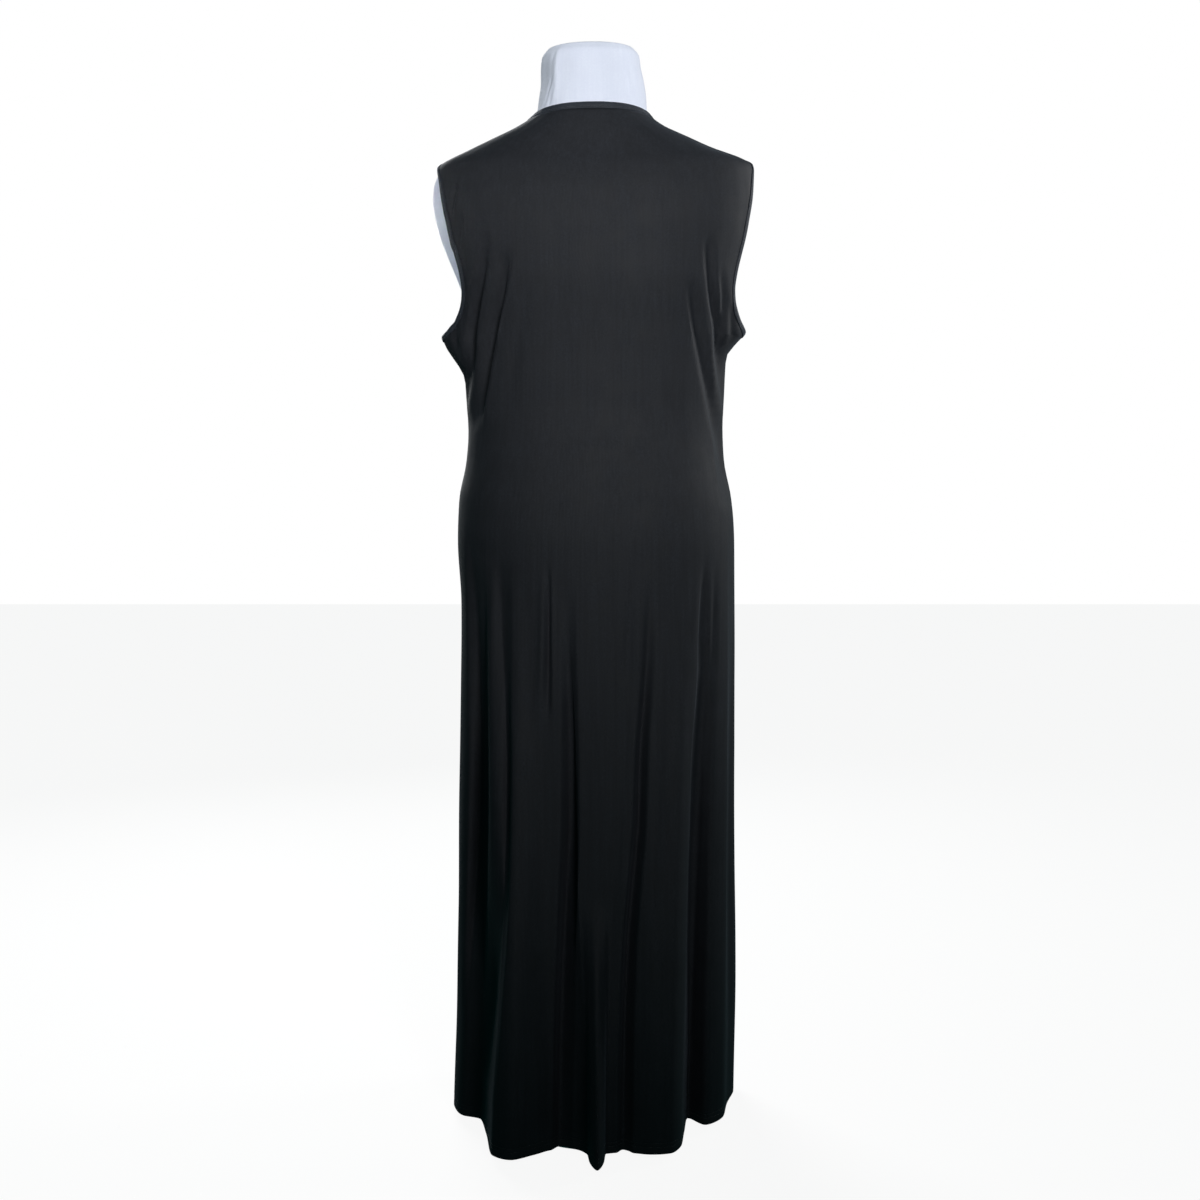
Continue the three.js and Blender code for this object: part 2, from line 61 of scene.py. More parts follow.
camera_data = bpy.data.cameras.new("camera")
camera_data.lens = CAMERA_LENS
camera_data.sensor_width = CAMERA_SENSOR
camera = bpy.data.objects.new("camera", camera_data)
camera.location = CAMERA_PLACE
camera.rotation_euler = (math.radians(90 - CAMERA_DIP), 0, math.pi)
bpy.context.scene.collection.objects.link(camera)
bpy.context.scene.camera = camera
print("camera at", CAMERA_PLACE)

# %% [markdown]
# Everything that follows a body is easiest to draw from level sections: how wide and how deep the
# cloth is at each height. A dress on a form has no flat pattern to trace any more, so short tables of
# measured sections, with smooth values between their rows, are the honest way to hold its shape.
# Sizes in the tables are millimetres, heights are measured up from the hem, and angles run round the
# body from the left side seam: 90 is the middle of the back, 180 the right seam, 270 the front.

# %% Driving dimensions of the dress
MM = 0.001
HEM_CLEARANCE = 12
NAPE_HEIGHT = 1330
FRONT_NECK_HEIGHT = 1226
NECK_SHOULDER_HEIGHT = 1321
NECK_SHOULDER_DROP = 0.62
SHOULDER_TIP_HEIGHT = 1262
UNDERARM_HEIGHT = 1045
NECK_BINDING = 8
ARMHOLE_BINDING = 6.5
ARMHOLE_BINDING_ANGLE = 3.2
SHOULDER_SLOPE = 26
CLOTH_WALL = 0.8
HEM_WALL = 1.9
HEM_DEPTH = 16
SEAM_GAP = 0.3
CLOTH_SQUARENESS = 2.3
SCOOP_SQUARENESS = 2.6
FOLD_SHARPNESS = 1.3
LEAN_SLOPE = 0.015
LEAN_START = 770
LEAN_FULL = 1070
ARMHOLES = {"left": {"back": 25.5, "front": 36}, "right": {"back": 20, "front": 36}}
ARMHOLE_ROUNDNESS = 3


# %% Short tables with named columns
def table(names, rows):
    """One array for each named column."""
    return dict(zip(names.split(), np.array(rows, float).T))


CLOTH = table("height left right back front", [
    (0, 197, 192, 150, 148),
    (150, 191, 193, 147, 144),
    (424, 185, 188.5, 142, 138),
    (695, 178, 184, 137, 130),
    (775, 182, 183, 136, 126),
    (828, 180, 179, 130, 122),
    (881, 170, 169, 117, 116),
    (920, 167, 167, 107, 113),
    (959, 169, 169, 102, 117),
    (1000, 171, 171, 102, 125),
    (1045, 174, 175, 105, 132),
    (1092, 181, 188, 110, 131),
    (1118, 186, 194, 112, 125),
    (1176, 202, 209, 111, 108),
    (1215, 206.5, 214, 105, 95),
    (1246, 203.5, 211.5, 95, 84),
    (1256, 201, 208, 90.5, 80),
    (1263, 194, 196.5, 87, 77.5),
    (1277, 165, 159, 81, 73),
    (1292, 132, 126, 75, 68),
    (1307, 99, 94, 69, 62),
    (1322, 76, 76, 62.5, 58),
    (1330, 72, 73, 60, 56),
])

# The hem's turns in plan, from the left seam round the back, and where each fold starts to show.
HEM_TURNS = table("angle x y start", [
    (0, 197, -35, 720),
    (14, 195, 2, 720),
    (26, 181, 38, 720),
    (37, 156, 50, 740),
    (43, 144, 98, 740),
    (50, 132, 160, 740),
    (59, 108, 174, 740),
    (67, 80, 160, 700),
    (76, 51, 144, 700),
    (81, 31, 142, 700),
    (86, 11, 157, 330),
    (88, 7, 183, 330),
    (90, -2, 203, 330),
    (92, -10, 183, 330),
    (94, -13, 156, 330),
    (104, -38, 153, 700),
    (116, -70, 159, 700),
    (125, -96, 155, 740),
    (131, -110, 134, 740),
    (135, -116, 92, 740),
    (139, -123, 48, 740),
    (148, -145, 69, 720),
    (159, -170, 45, 720),
    (169, -180, 0, 720),
    (180, -192, -44, 720),
    (197, -195, -90, 700),
    (211, -150, -96, 700),
    (224, -128, -150, 720),
    (239, -88, -136, 700),
    (252, -50, -160, 690),
    (265, -14, -138, 640),
    (278, 22, -161, 690),
    (291, 60, -140, 700),
    (304, 96, -160, 720),
    (318, 128, -118, 700),
    (331, 162, -117, 700),
    (346, 191, -84, 700),
    (360, 197, -35, 720),
])

# The points of slack cloth that stand out under each armhole.
WINGS = [
    {"side": 1, "out": 25, "top": 1104, "peak": 1044, "end": 985, "spread": 20},
    {"side": -1, "out": 23, "top": 1104, "peak": 1048, "end": 1010, "spread": 20},
]
print("cloth sections:", len(CLOTH["height"]), " hem turns:", len(HEM_TURNS["angle"]))


# %% Smooth values between a table's rows
def smooth(keys, values, at):
    """The value at a place between rows, on a curve that never swings past a row."""
    keys = np.asarray(keys, float)
    values = np.asarray(values, float)
    at = np.clip(at, keys[0], keys[-1])
    low = np.clip(np.searchsorted(keys, at, side="right") - 1, 0, len(keys) - 2)
    run = np.diff(keys)
    rise = np.diff(values) / run
    product = rise[:-1] * rise[1:]
    total = np.where(product > 0, rise[:-1] + rise[1:], 1)
    middle = np.where(product > 0, 2 * product / total, 0)
    slope = np.concatenate(([rise[0]], middle, [rise[-1]]))
    t = (at - keys[low]) / run[low]
    ease = t * t * (3 - 2 * t)
    level = values[low] * (1 - ease) + values[low + 1] * ease
    leaving = slope[low] * t * (1 - t) ** 2
    arriving = slope[low + 1] * t * t * (1 - t)
    return level + run[low] * (leaving - arriving)


def ease_between(value, start, end):
    """0 before start, 1 after end, and an easy rise between."""
    share = np.clip((value - start) / (end - start), 0, 1)
    return share * share * (3 - 2 * share)


def path_length(points):
    """The length along a line of points, up to each of them, or along each row of a grid of points."""
    step = np.linalg.norm(np.diff(points, axis=-2), axis=-1)
    return np.concatenate([0 * step[..., :1], np.cumsum(step, axis=-1)], axis=-1)


def close_at_ends(count):
    """Shares from 0 to 1 that lie closer together at both ends."""
    return (1 - np.cos(np.pi * np.arange(count + 1) / count)) / 2


# %% Level sections with rounded sides
def section_point(sections, squareness, angle, height):
    """The x and y of a section at an angle and a height."""
    power = 2 / squareness
    across = np.cos(np.radians(angle))
    along = np.sin(np.radians(angle))
    sides = {name: smooth(sections["height"], sections[name], height)
             for name in ("left", "right", "back", "front")}
    half = np.where(across >= 0, sides["left"], sides["right"])
    depth = np.where(along >= 0, sides["back"], sides["front"])
    x = np.sign(across) * half * np.abs(across) ** power
    y = np.sign(along) * depth * np.abs(along) ** power
    return x, y


def lean(x, y, height):
    """The form and the top of the dress lean a little towards the wearer's left."""
    reach = LEAN_FULL - LEAN_START
    share = np.clip((height - LEAN_START) / reach, 0, 1)
    moved = reach * (share ** 3 - share ** 4 / 2) + np.maximum(0, height - LEAN_FULL)
    turn = share * share * (3 - 2 * share)
    return np.stack([
        x + LEAN_SLOPE * moved,
        y + 0 * moved,
        HEM_CLEARANCE + height - LEAN_SLOPE * x * turn,
    ], axis=-1)


# %% [markdown]
# The skirt hangs from the hips in folds that open towards the hem, and slack cloth stands out in a
# point under each armhole. Both are added to the smooth sections. Cloth simulation would give folds
# too, but never the ones that this dress shows, so each fold is placed one by one from the hem's plan.

# %% The cloth without its fine creases
def fold_growth(angle, height):
    """How far a fold has opened: nothing where it starts, all of it at the hem."""
    start = smooth(HEM_TURNS["angle"], HEM_TURNS["start"], angle)
    share = np.clip((start - height) / start, 0, 1)
    return np.sin(share * np.pi / 2) ** FOLD_SHARPNESS


def wing_reach(angle, height):
    """How far the slack cloth beside the armholes' lower ends stands out."""
    reach = 0
    for wing in WINGS:
        turned = np.minimum(angle, 360 - angle) if wing["side"] > 0 else np.abs(angle - 180)
        above = height > wing["peak"]
        span = np.where(above, wing["top"] - wing["peak"], wing["peak"] - wing["end"])
        away = np.abs(height - wing["peak"]) / span
        reach = reach + wing["side"] * wing["out"] * (1 - ease_between(away, 0, 1)) \
            * np.exp(-(turned / wing["spread"]) ** 2)
    return reach


def draped(angle, height):
    """A point of the cloth before creases, still without the lean."""
    turn = np.mod(angle, 360)
    x, y = section_point(CLOTH, CLOTH_SQUARENESS, turn, height)
    hem_x, hem_y = section_point(CLOTH, CLOTH_SQUARENESS, turn, 0 * height)
    growth = fold_growth(turn, height)
    x = x + wing_reach(turn, height) + (smooth(HEM_TURNS["angle"], HEM_TURNS["x"], turn) - hem_x) * growth
    y = y + (smooth(HEM_TURNS["angle"], HEM_TURNS["y"], turn) - hem_y) * growth
    return np.stack([x, y, height + 0 * x], axis=-1)


def across_and_up(surface, angle, height, turn_step=0.5, height_step=2):
    """The direction out of a surface that is given by angle and height."""
    around = surface(angle + turn_step, height) - surface(angle - turn_step, height)
    up = surface(angle, height + height_step) - surface(angle, np.maximum(height - height_step, 0))
    outward = np.cross(around, up)
    return outward / np.linalg.norm(outward, axis=-1, keepdims=True)


# %% [markdown]
# Creases are what makes jersey look like jersey. Its own weight draws long soft troughs from the
# armholes down to the waist, and more of them start below the hips and widen towards the hem. Each
# is a row of a table. A pleat has a sharp crest line, a steep bank on one side of it, and an easy way
# back to the cloth. A softer crease has its line, its half width at both ends, its depth (below zero
# it is a ridge) and its skew, which makes one bank steeper. The hidden front gets similar ones.

# %% The pleats and creases, placed one by one
LEFT, RIGHT = 1, -1
PLEATS = [
    # name, face (1 is the back), crest from top to end as (x, height), side of its steep bank, width
    # of the bank at both ends, way back to the cloth, depth, and how slowly it deepens
    ("left long drag", 1, [(122, 1162), (128, 1141), (132, 1119), (138, 1095), (143, 1070), (148, 1046),
                           (150, 1021), (154, 996), (158, 950)], LEFT, (8, 12), 9, 8.5, 0.7),
    ("left inner drag", 1, [(97, 1140), (102, 1119), (107, 1094), (114, 1070), (120, 1045), (126, 1020),
                            (131, 996), (136, 971), (141, 950), (145, 922)], LEFT, (9, 13), 15, 11.0, 0.6),
    ("right inner drag", 1, [(-112, 1102), (-117, 1073), (-122, 1042), (-127, 1017), (-132, 993),
                             (-137, 968), (-142, 943), (-150, 906), (-157, 820)],
     RIGHT, (8, 15), 14, 9.0, 0.6),
    ("right long drag", 1, [(-135, 1158), (-139, 1117), (-142, 1092), (-146, 1067), (-150, 1042),
                            (-151, 1018), (-154, 993), (-159, 940)], RIGHT, (8, 11), 10, 9.0, 0.7),
    ("left skirt valley", 1, [(104, 760), (105, 720), (106, 658), (106, 582), (105, 505), (106, 428),
                              (108, 350), (112, 272), (118, 193), (126, 70)],
     LEFT, (16, 20), 10, 17.0, 0.9),
    ("left side valley", 1, [(140, 790), (139, 754), (138, 676), (137, 572), (136, 493), (137, 414),
                             (140, 334), (144, 250), (149, 150)], LEFT, (22, 24), 8, 14.0, 0.8),
    ("left middle valley", 1, [(26, 735), (25, 709), (24, 634), (22, 533), (21, 430), (23, 353), (26, 249),
                               (29, 65), (31, -160)], LEFT, (9, 17), 12, 22.0, 1.3),
    ("right middle valley", 1, [(-78, 735), (-76, 709), (-74, 634), (-71, 583), (-66, 507), (-64, 430),
                                (-58, 353), (-52, 275), (-49, 197), (-47, 78), (-46, -160)],
     LEFT, (8, 12), 9, 18.0, 1.1),
    ("right crest line", 1, [(-134, 760), (-131, 693), (-127, 580), (-122, 503), (-121, 426), (-118, 340),
                             (-116, 240), (-115, 110)], RIGHT, (6.5, 8), 12, 6.5, 0.7),
    ("right short pleat", 1, [(-147, 750), (-146, 690), (-144, 600)], RIGHT, (5, 6), 8, 3.0, 0.7),
    ("right edge line", 1, [(-170, 800), (-171, 690), (-172, 580), (-173, 369), (-174, 120)],
     RIGHT, (7, 8), 12, 4.6, 0.7),
]
CREASES = [
    # name, face, line from top to end as (x, height), half width at both ends, depth, skew
    ("left upper nip", 1, [(170, 1229), (176, 1210), (181, 1190)], (2.8, 3.4), 3.0, 0),
    ("left armhole nip", 1, [(164, 1186), (169, 1166), (174, 1144)], (3.2, 4), 3.4, 0),
    ("left long drag line", 1, [(128, 1150), (137, 1119), (143, 1094), (149, 1070), (154, 1045),
                                (157, 1020), (160, 996)], (3.2, 4.2), 3.2, 0.3),
    ("left inner drag line", 1, [(104, 1130), (110, 1110), (117, 1080), (125, 1050), (133, 1015),
                                 (141, 975), (147, 935)], (3.2, 4.4), 4.8, 0.3),
    ("left wing second", 1, [(180, 1066), (179, 1044), (178, 1016)], (3.0, 4), 2.4, 0),
    ("right armhole nip", 1, [(-160, 1120), (-165, 1083), (-166, 1045), (-164, 1016)], (4, 5), 3.4, -0.2),
    ("right wing crease", 1, [(-175, 1078), (-177, 1050), (-178, 1018)], (3.5, 5), 3.0, 0),
    ("right faint drag", 1, [(-90, 1010), (-98, 950), (-108, 880)], (7, 10), 1.0, 0),
    ("left faint drag", 1, [(84, 1100), (92, 1050), (104, 990), (116, 930)], (7, 10), 1.2, 0),
    ("left short crease", 1, [(59, 748), (59, 690), (59, 640), (60, 560)], (3.0, 4), 6.4, 0.3),
    ("left skirt ridge", 1, [(131, 750), (131, 640), (129, 540), (129, 430), (130, 330), (133, 190)],
     (7, 8), -4.5, 0),
    ("left middle streak", 1, [(72, 560), (70, 420), (68, 280), (66, 120)], (8, 12), 2.0, 0),
    ("middle faint crease", 1, [(-46, 735), (-42, 670), (-37, 600)], (4, 6), 1.7, 0),
    ("right short crease", 1, [(-137, 745), (-136, 690), (-133, 620)], (4, 6), 2.6, 0),
    ("right streak", 1, [(-92, 620), (-90, 480), (-86, 330), (-84, 160)], (8, 12), 2.0, 0),
    ("left edge streak", 1, [(158, 760), (160, 600), (163, 420), (166, 240)], (6, 9), 2.0, 0),
    ("front left long drag", -1, [(122, 1100), (132, 1030), (139, 950), (143, 860)], (5, 10), 5.6, 0.2),
    ("front left inner drag", -1, [(96, 1072), (106, 1010), (118, 945), (128, 872)], (5, 9), 3.8, 0.2),
    ("front left nip", -1, [(150, 1150), (160, 1110), (166, 1070)], (4, 6), 2.6, 0),
    ("front right long drag", -1, [(-120, 1096), (-129, 1020), (-137, 940), (-142, 872)],
     (5, 10), 5.4, -0.2),
    ("front right inner drag", -1, [(-92, 1060), (-103, 990), (-115, 915)], (5, 9), 3.2, -0.2),
    ("front right nip", -1, [(-152, 1146), (-161, 1104), (-168, 1060)], (4, 6), 2.4, 0),
    ("front left valley", -1, [(64, 720), (63, 560), (61, 380), (60, 170)], (6, 13), 5.0, 0.2),
    ("front middle valley", -1, [(-12, 690), (-12, 520), (-13, 330), (-14, 130)], (6, 13), 5.0, 0),
    ("front right valley", -1, [(-84, 735), (-86, 560), (-88, 360), (-88, 150)], (6, 13), 5.6, -0.2),
    ("front left short crease", -1, [(100, 748), (99, 680), (98, 590)], (4, 6), 2.4, 0),
    ("front right short crease", -1, [(-46, 728), (-47, 660), (-48, 580)], (4, 6), 2.2, 0),
    ("front left edge line", -1, [(150, 770), (154, 600), (158, 380), (160, 160)], (4, 6), -2.2, 0),
]
print("pleats:", len(PLEATS), " creases:", len(CREASES))


# %% How much the creases and the slow waves move the cloth
PLEAT_BANK_CURVE = 0.4
# Pleats fade out towards the side seams, between these sines of the angle.
SEAM_CALM = (0.02, 0.16)
CREASE_GROWTH = 0.7
CREASE_SKEW_EASE = 2
# A crease lifts low banks beside it: their share of its depth, and their place in half widths.
CREASE_BANK = 0.32
CREASE_BANK_PLACE = 1.9
WAVE_SEED = 7.3
WAVE_SIZES = [
    # amplitude, degrees round the body, millimetres down it
    (0.55, 16, 130),
    (0.50, 7, 300),
]
# The waves are this much stronger at the hem, and calm down between these heights.
WAVES_AT_HEM = 1.6
WAVES_CALM = (300, 900)


def along_crease(line, ends, height):
    """Where a crease lies at each height, how wide it is there, and how strong."""
    xs, heights = np.array(line[::-1], float).T
    share = np.clip((heights[-1] - height) / (heights[-1] - heights[0]), 0, 1)
    return smooth(heights, xs, height), ends[0] + (ends[1] - ends[0]) * share, np.sin(np.pi * share)


def pleat_relief(face, x, height):
    """Millimetres that the pleats of one face lower the cloth, counted below zero."""
    relief = 0 * x
    for _, own_face, line, side, banks, way_back, depth, growth in PLEATS:
        crest, bank, strength = along_crease(line, banks, height)
        away = side * (x - crest)
        share = np.clip(away / bank, 0, 1)
        down = share * (1 + PLEAT_BANK_CURVE - PLEAT_BANK_CURVE * share)
        back = 1 - ease_between(away, bank, bank + way_back)
        relief = relief - depth * strength ** growth * down * back * (face == own_face)
    return relief


def crease_relief(face, x, height):
    """Millimetres that the creases of one face lift the cloth, below zero in a trough."""
    relief = 0 * x
    for _, own_face, line, halves, depth, skew in CREASES:
        middle, half, strength = along_crease(line, halves, height)
        strength = strength ** CREASE_GROWTH * (face == own_face)
        away = (x - middle) / half
        away = away / (1 + skew * np.tanh(CREASE_SKEW_EASE * away))
        banks = CREASE_BANK * np.exp(-(np.abs(away) - CREASE_BANK_PLACE) ** 2)
        relief = relief - depth * strength * (np.exp(-away ** 2) - banks)
    return relief


def slow_waves(angle, height):
    """Millimetres of the very low, uneven waves that hanging cloth always has."""
    waves = np.zeros(np.shape(angle))
    turns = np.radians(np.ravel(np.mod(angle, 360)))
    heights = np.ravel(height)
    for amplitude, turn, drop in WAVE_SIZES:
        radius = 180 / np.pi / turn
        places = zip(radius * np.cos(turns), radius * np.sin(turns), heights / drop + WAVE_SEED)
        values = [noise.noise(Vector(place)) for place in places]
        waves = waves + amplitude * np.reshape(values, np.shape(angle))
    return waves * (WAVES_AT_HEM - ease_between(height, *WAVES_CALM))


def cloth_point(angle, height, lift=0):
    """The outer face of the finished cloth, lifted by some millimetres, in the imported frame."""
    angle, height = np.broadcast_arrays(np.asarray(angle, float), np.asarray(height, float))
    point = draped(angle, height)
    outward = across_and_up(draped, angle, height)
    face = np.where(np.mod(angle, 360) < 180, 1, -1)
    x = point[..., 0]
    off_seam = ease_between(np.abs(np.sin(np.radians(angle))), *SEAM_CALM)
    relief = off_seam * pleat_relief(face, x, height)
    relief = relief + crease_relief(face, x, height) + slow_waves(angle, height)
    point = point + outward * (relief + lift)[..., None]
    return lean(point[..., 0], point[..., 1], point[..., 2])


print("middle of the back at the waist:", np.round(cloth_point(90, 920), 1))


# %% [markdown]
# The neckline and the armholes are curves on that cloth, given by an angle and a height. The back
# neck is a shallow rise, the front neck a round scoop, and each armhole a tall rounded opening.

# %% Neckline and armholes
HALVINGS = 30


def neckline_height(angle, drop):
    """Height of the neckline, or of a line that lies lower by drop."""
    angle = np.mod(np.asarray(angle, float), 360)
    shoulder = NECK_SHOULDER_HEIGHT - drop * NECK_SHOULDER_DROP
    back = shoulder + (NAPE_HEIGHT - drop - shoulder) * np.sin(np.radians(angle))
    middle = FRONT_NECK_HEIGHT - drop
    sides = {name: smooth(CLOTH["height"], CLOTH[name], shoulder) for name in ("left", "right")}
    half_neck = np.where(np.cos(np.radians(angle)) < 0, sides["right"], sides["left"])
    low = np.full(np.shape(angle), float(middle))
    high = np.full(np.shape(angle), float(shoulder))
    for _ in range(HALVINGS):
        height = (low + high) / 2
        across = np.abs(section_point(CLOTH, CLOTH_SQUARENESS, angle, height)[0])
        scoop = half_neck * ((height - middle) / (shoulder - middle)) ** (1 / SCOOP_SQUARENESS)
        low = np.where(across > scoop, height, low)
        high = np.where(across > scoop, high, height)
    return np.where(angle > 180, (low + high) / 2, back)


def armhole_edge(side, face, share, bound):
    """Opening angle and height of an armhole's edge: of the cloth, or of the binding when bound."""
    width = 0 if bound else ARMHOLE_BINDING
    low = UNDERARM_HEIGHT - width
    high = SHOULDER_TIP_HEIGHT + width * math.sin(math.radians(SHOULDER_SLOPE))
    opening = ARMHOLES[side][face] + (0 if bound else ARMHOLE_BINDING_ANGLE)
    inside = np.maximum(0, 1 - np.abs(2 * share - 1) ** ARMHOLE_ROUNDNESS)
    return opening * np.sqrt(inside), low + share * (high - low)


CLOTH_UNDERARM = UNDERARM_HEIGHT - ARMHOLE_BINDING
CLOTH_SHOULDER_TIP = float(armhole_edge("left", "back", 1.0, False)[1])
CLOTH_NECK_SIDE = float(neckline_height(0, NECK_BINDING))
print("cloth's own armholes from", CLOTH_UNDERARM, "to", round(CLOTH_SHOULDER_TIP, 1))

# %% [markdown]
# A panel is a grid of that cloth: rows up the garment and columns round it. Rows lie close at the
# turned-up hem and round the armholes, and columns lie close where the hem's folds are tight and at
# the seams. The armholes squeeze the columns towards the panel's middle. The shell is closed, with
# its own inner face, and the hem is rolled at its edge and thicker up to its twin stitches.

# %% Rows and columns of a panel
HEM_ROWS = (0, 0.35, 0.8, 1.4, 3, 6, 8.6, 9.5, 10.4, 12, 13.6, 14.5, 15.4, 16.4, 19, 24)
# The cloth dips at a seam, over this half width. The columns crowd there, over these degrees.
SEAM_DIP = 0.9
SEAM_DIP_HALF = 1.7
SEAM_CLOSENESS = 2.5
SEAM_COLUMNS = 1.5
FINE_STEPS = 4001
# The lengths round the hem and round the hips, by their height, share in placing the columns.
COLUMN_SHARES = {0: 0.55, 780: 0.45}
HEM_LINES = (9.5, 14.5)
HEM_LINE_DIP = 0.35
HEM_LINE_HALF = 0.8
HEM_ROLL_LIMIT = 0.9


def side_heights(lower, armhole, shoulder):
    """Heights of the rows at the side seam: level ones, then the armhole's, then the shoulder's."""
    level = np.linspace(HEM_ROWS[-1], CLOTH_UNDERARM, lower)[1:-1]
    opening = CLOTH_UNDERARM + close_at_ends(armhole) * (CLOTH_SHOULDER_TIP - CLOTH_UNDERARM)
    top = np.linspace(CLOTH_SHOULDER_TIP, CLOTH_NECK_SIDE, shoulder + 1)[1:]
    return np.concatenate([HEM_ROWS, level, opening, top])


def column_angles(start, end, count):
    """Angles of the columns, spread by the length of the hem and the hips, and closer at the seams."""
    fine = np.linspace(start, end, FINE_STEPS)
    weight = 0
    for height, share in COLUMN_SHARES.items():
        step = np.linalg.norm(np.diff(draped(fine, np.full(fine.shape, float(height))), axis=0), axis=1)
        weight = weight + share * step / step.sum()
    middles = (fine[1:] + fine[:-1]) / 2
    seam = np.minimum(middles - start, end - middles)
    weight = weight * (1 + SEAM_CLOSENESS * np.exp(-(seam / SEAM_COLUMNS) ** 2))
    length = np.concatenate([[0], np.cumsum(weight)])
    return np.interp(np.linspace(0, length[-1], count), length, fine)


def squeeze(side, face, height):
    """Degrees that an armhole takes from the edge of a row."""
    share = (height - CLOTH_UNDERARM) / (CLOTH_SHOULDER_TIP - CLOTH_UNDERARM)
    opening = armhole_edge(side, face, np.clip(share, 0, 1), False)[0]
    return np.where((share >= 0) & (share <= 1), opening, 0)


def panel_grid(face, start, end, rows, columns):
    """Angles and heights of every point of a panel."""
    heights = side_heights(*rows)
    angles = column_angles(start, end, columns)
    middle = (start + end) / 2
    away = angles - middle
    nearer = np.cos(np.radians(angles)) > 0
    taken = np.where(nearer[None, :], squeeze("left", face, heights)[:, None],
                     squeeze("right", face, heights)[:, None])
    angle = angles[None, :] - np.sign(away) * taken * away ** 2 / 90 ** 2
    share = np.maximum(0, (heights - CLOTH_UNDERARM) / (CLOTH_NECK_SIDE - CLOTH_UNDERARM))
    neck = neckline_height(angles, NECK_BINDING)
    above = CLOTH_UNDERARM + share[:, None] * (neck[None, :] - CLOTH_UNDERARM)
    height = np.where(heights[:, None] <= CLOTH_UNDERARM, heights[:, None], above)
    return angle, height


# %% Close a shell and turn it into a mesh
def grid_normals(points):
    """The direction out of a grid of points."""
    around = np.gradient(points, axis=1)
    up = np.gradient(points, axis=0)
    outward = np.cross(around, up)
    return outward / np.linalg.norm(outward, axis=-1, keepdims=True)


def shell_faces(rows, columns):
    """Four-cornered faces of an outer and an inner grid and of the four edges between them."""
    index = np.arange(2 * rows * columns).reshape(2, rows, columns)
    outer, inner = index
    strips = [
        (outer[:-1, :-1], outer[:-1, 1:], outer[1:, 1:], outer[1:, :-1]),
        (inner[:-1, :-1], inner[1:, :-1], inner[1:, 1:], inner[:-1, 1:]),
        (outer[:-1, 0], outer[1:, 0], inner[1:, 0], inner[:-1, 0]),
        (outer[:-1, -1], inner[:-1, -1], inner[1:, -1], outer[1:, -1]),
        (outer[0, :-1], inner[0, :-1], inner[0, 1:], outer[0, 1:]),
        (outer[-1, :-1], outer[-1, 1:], inner[-1, 1:], inner[-1, :-1]),
    ]
    return np.concatenate([np.stack([corner.ravel() for corner in strip], axis=1) for strip in strips])


def make_piece(name, points, faces, uv=None):
    """A smooth mesh object from points in millimetres, with a UV map in metres where uv is given."""
    mesh = bpy.data.meshes.new(name)
    mesh.from_pydata((np.reshape(points, (-1, 3)) * MM).tolist(), [], [list(face) for face in faces])
    if uv is not None:
        corners = np.zeros(len(mesh.loops), int)
        mesh.loops.foreach_get("vertex_index", corners)
        layer = mesh.uv_layers.new(name="cloth")
        layer.data.foreach_set("uv", (np.reshape(uv, (-1, 2))[corners] * MM).ravel())
    mesh.validate()
    mesh.shade_smooth()
    piece = bpy.data.objects.new(name, mesh)
    bpy.context.scene.collection.objects.link(piece)
    triangles = sum(len(polygon.vertices) - 2 for polygon in mesh.polygons)
    print(f"{name}: {triangles} triangles")
    return piece


# %% Sew the two panels
def hem_roll(height):
    """How far the folded edge of the hem has turned in at a height."""
    radius = HEM_WALL / 2
    rise = np.clip(height, 0, radius)
    return np.minimum(radius - np.sqrt(radius ** 2 - (radius - rise) ** 2), HEM_ROLL_LIMIT * radius)


def edge_distance(points):
    """The distance of every point from the nearer side edge, along its row, and from the middle."""
    along = path_length(points)
    whole = along[:, -1:]
    return np.minimum(along, whole - along), along - whole / 2


def sew_panel(name, face, start, end, rows, columns):
    """One panel of the dress as a closed thin shell."""
    angle, height = panel_grid(face, start, end, rows, columns)
    outer = cloth_point(angle, height)
    edge, across = edge_distance(outer)
    dip = SEAM_DIP * np.exp(-(edge / SEAM_DIP_HALF) ** 2)
    for line in HEM_LINES:
        dip = dip + HEM_LINE_DIP * np.exp(-((height - line) / HEM_LINE_HALF) ** 2)
    normals = grid_normals(outer)
    wall = np.where(height <= HEM_DEPTH, HEM_WALL, CLOTH_WALL)
    roll = hem_roll(height)
    inner = outer - normals * (wall - roll + dip)[..., None]
    outer = outer - normals * (roll + dip)[..., None]
    for grid in (outer, inner):
        for here, beside in ((0, 1), (-1, -2)):
            inward = grid[:, beside] - grid[:, here]
            inward /= np.linalg.norm(inward, axis=-1, keepdims=True)
            grid[:, here] += inward * SEAM_GAP / 2
    points = np.stack([outer, inner])
    uv = np.stack([across, height], axis=-1)
    piece = make_piece(name, points, shell_faces(*angle.shape), np.stack([uv, uv]))
    length = path_length(outer[:, columns // 2])[-1]
    widest = 2 * edge.max()
    print(f"{name}: cloth {widest:.0f} mm wide at most, {length:.0f} mm long down its middle")
    return piece


# Rows below the armholes, beside them and over the shoulders, and then columns.
BACK_GRID = ((92, 46, 12), 290)
FRONT_GRID = ((88, 44, 12), 230)
dress_back = sew_panel("jersey_back", "back", 0, 180, *BACK_GRID)
dress_front = sew_panel("jersey_front", "front", 180, 360, *FRONT_GRID)


# %% [markdown]
# The neck and the armholes are finished with a strip of the same jersey, folded over the raw edge
# and stitched down. Seen close, that is a low rounded band with a groove where the stitches pull it
# in. Its section is a folded strip with a slot for the panel's edge, swept round the opening.

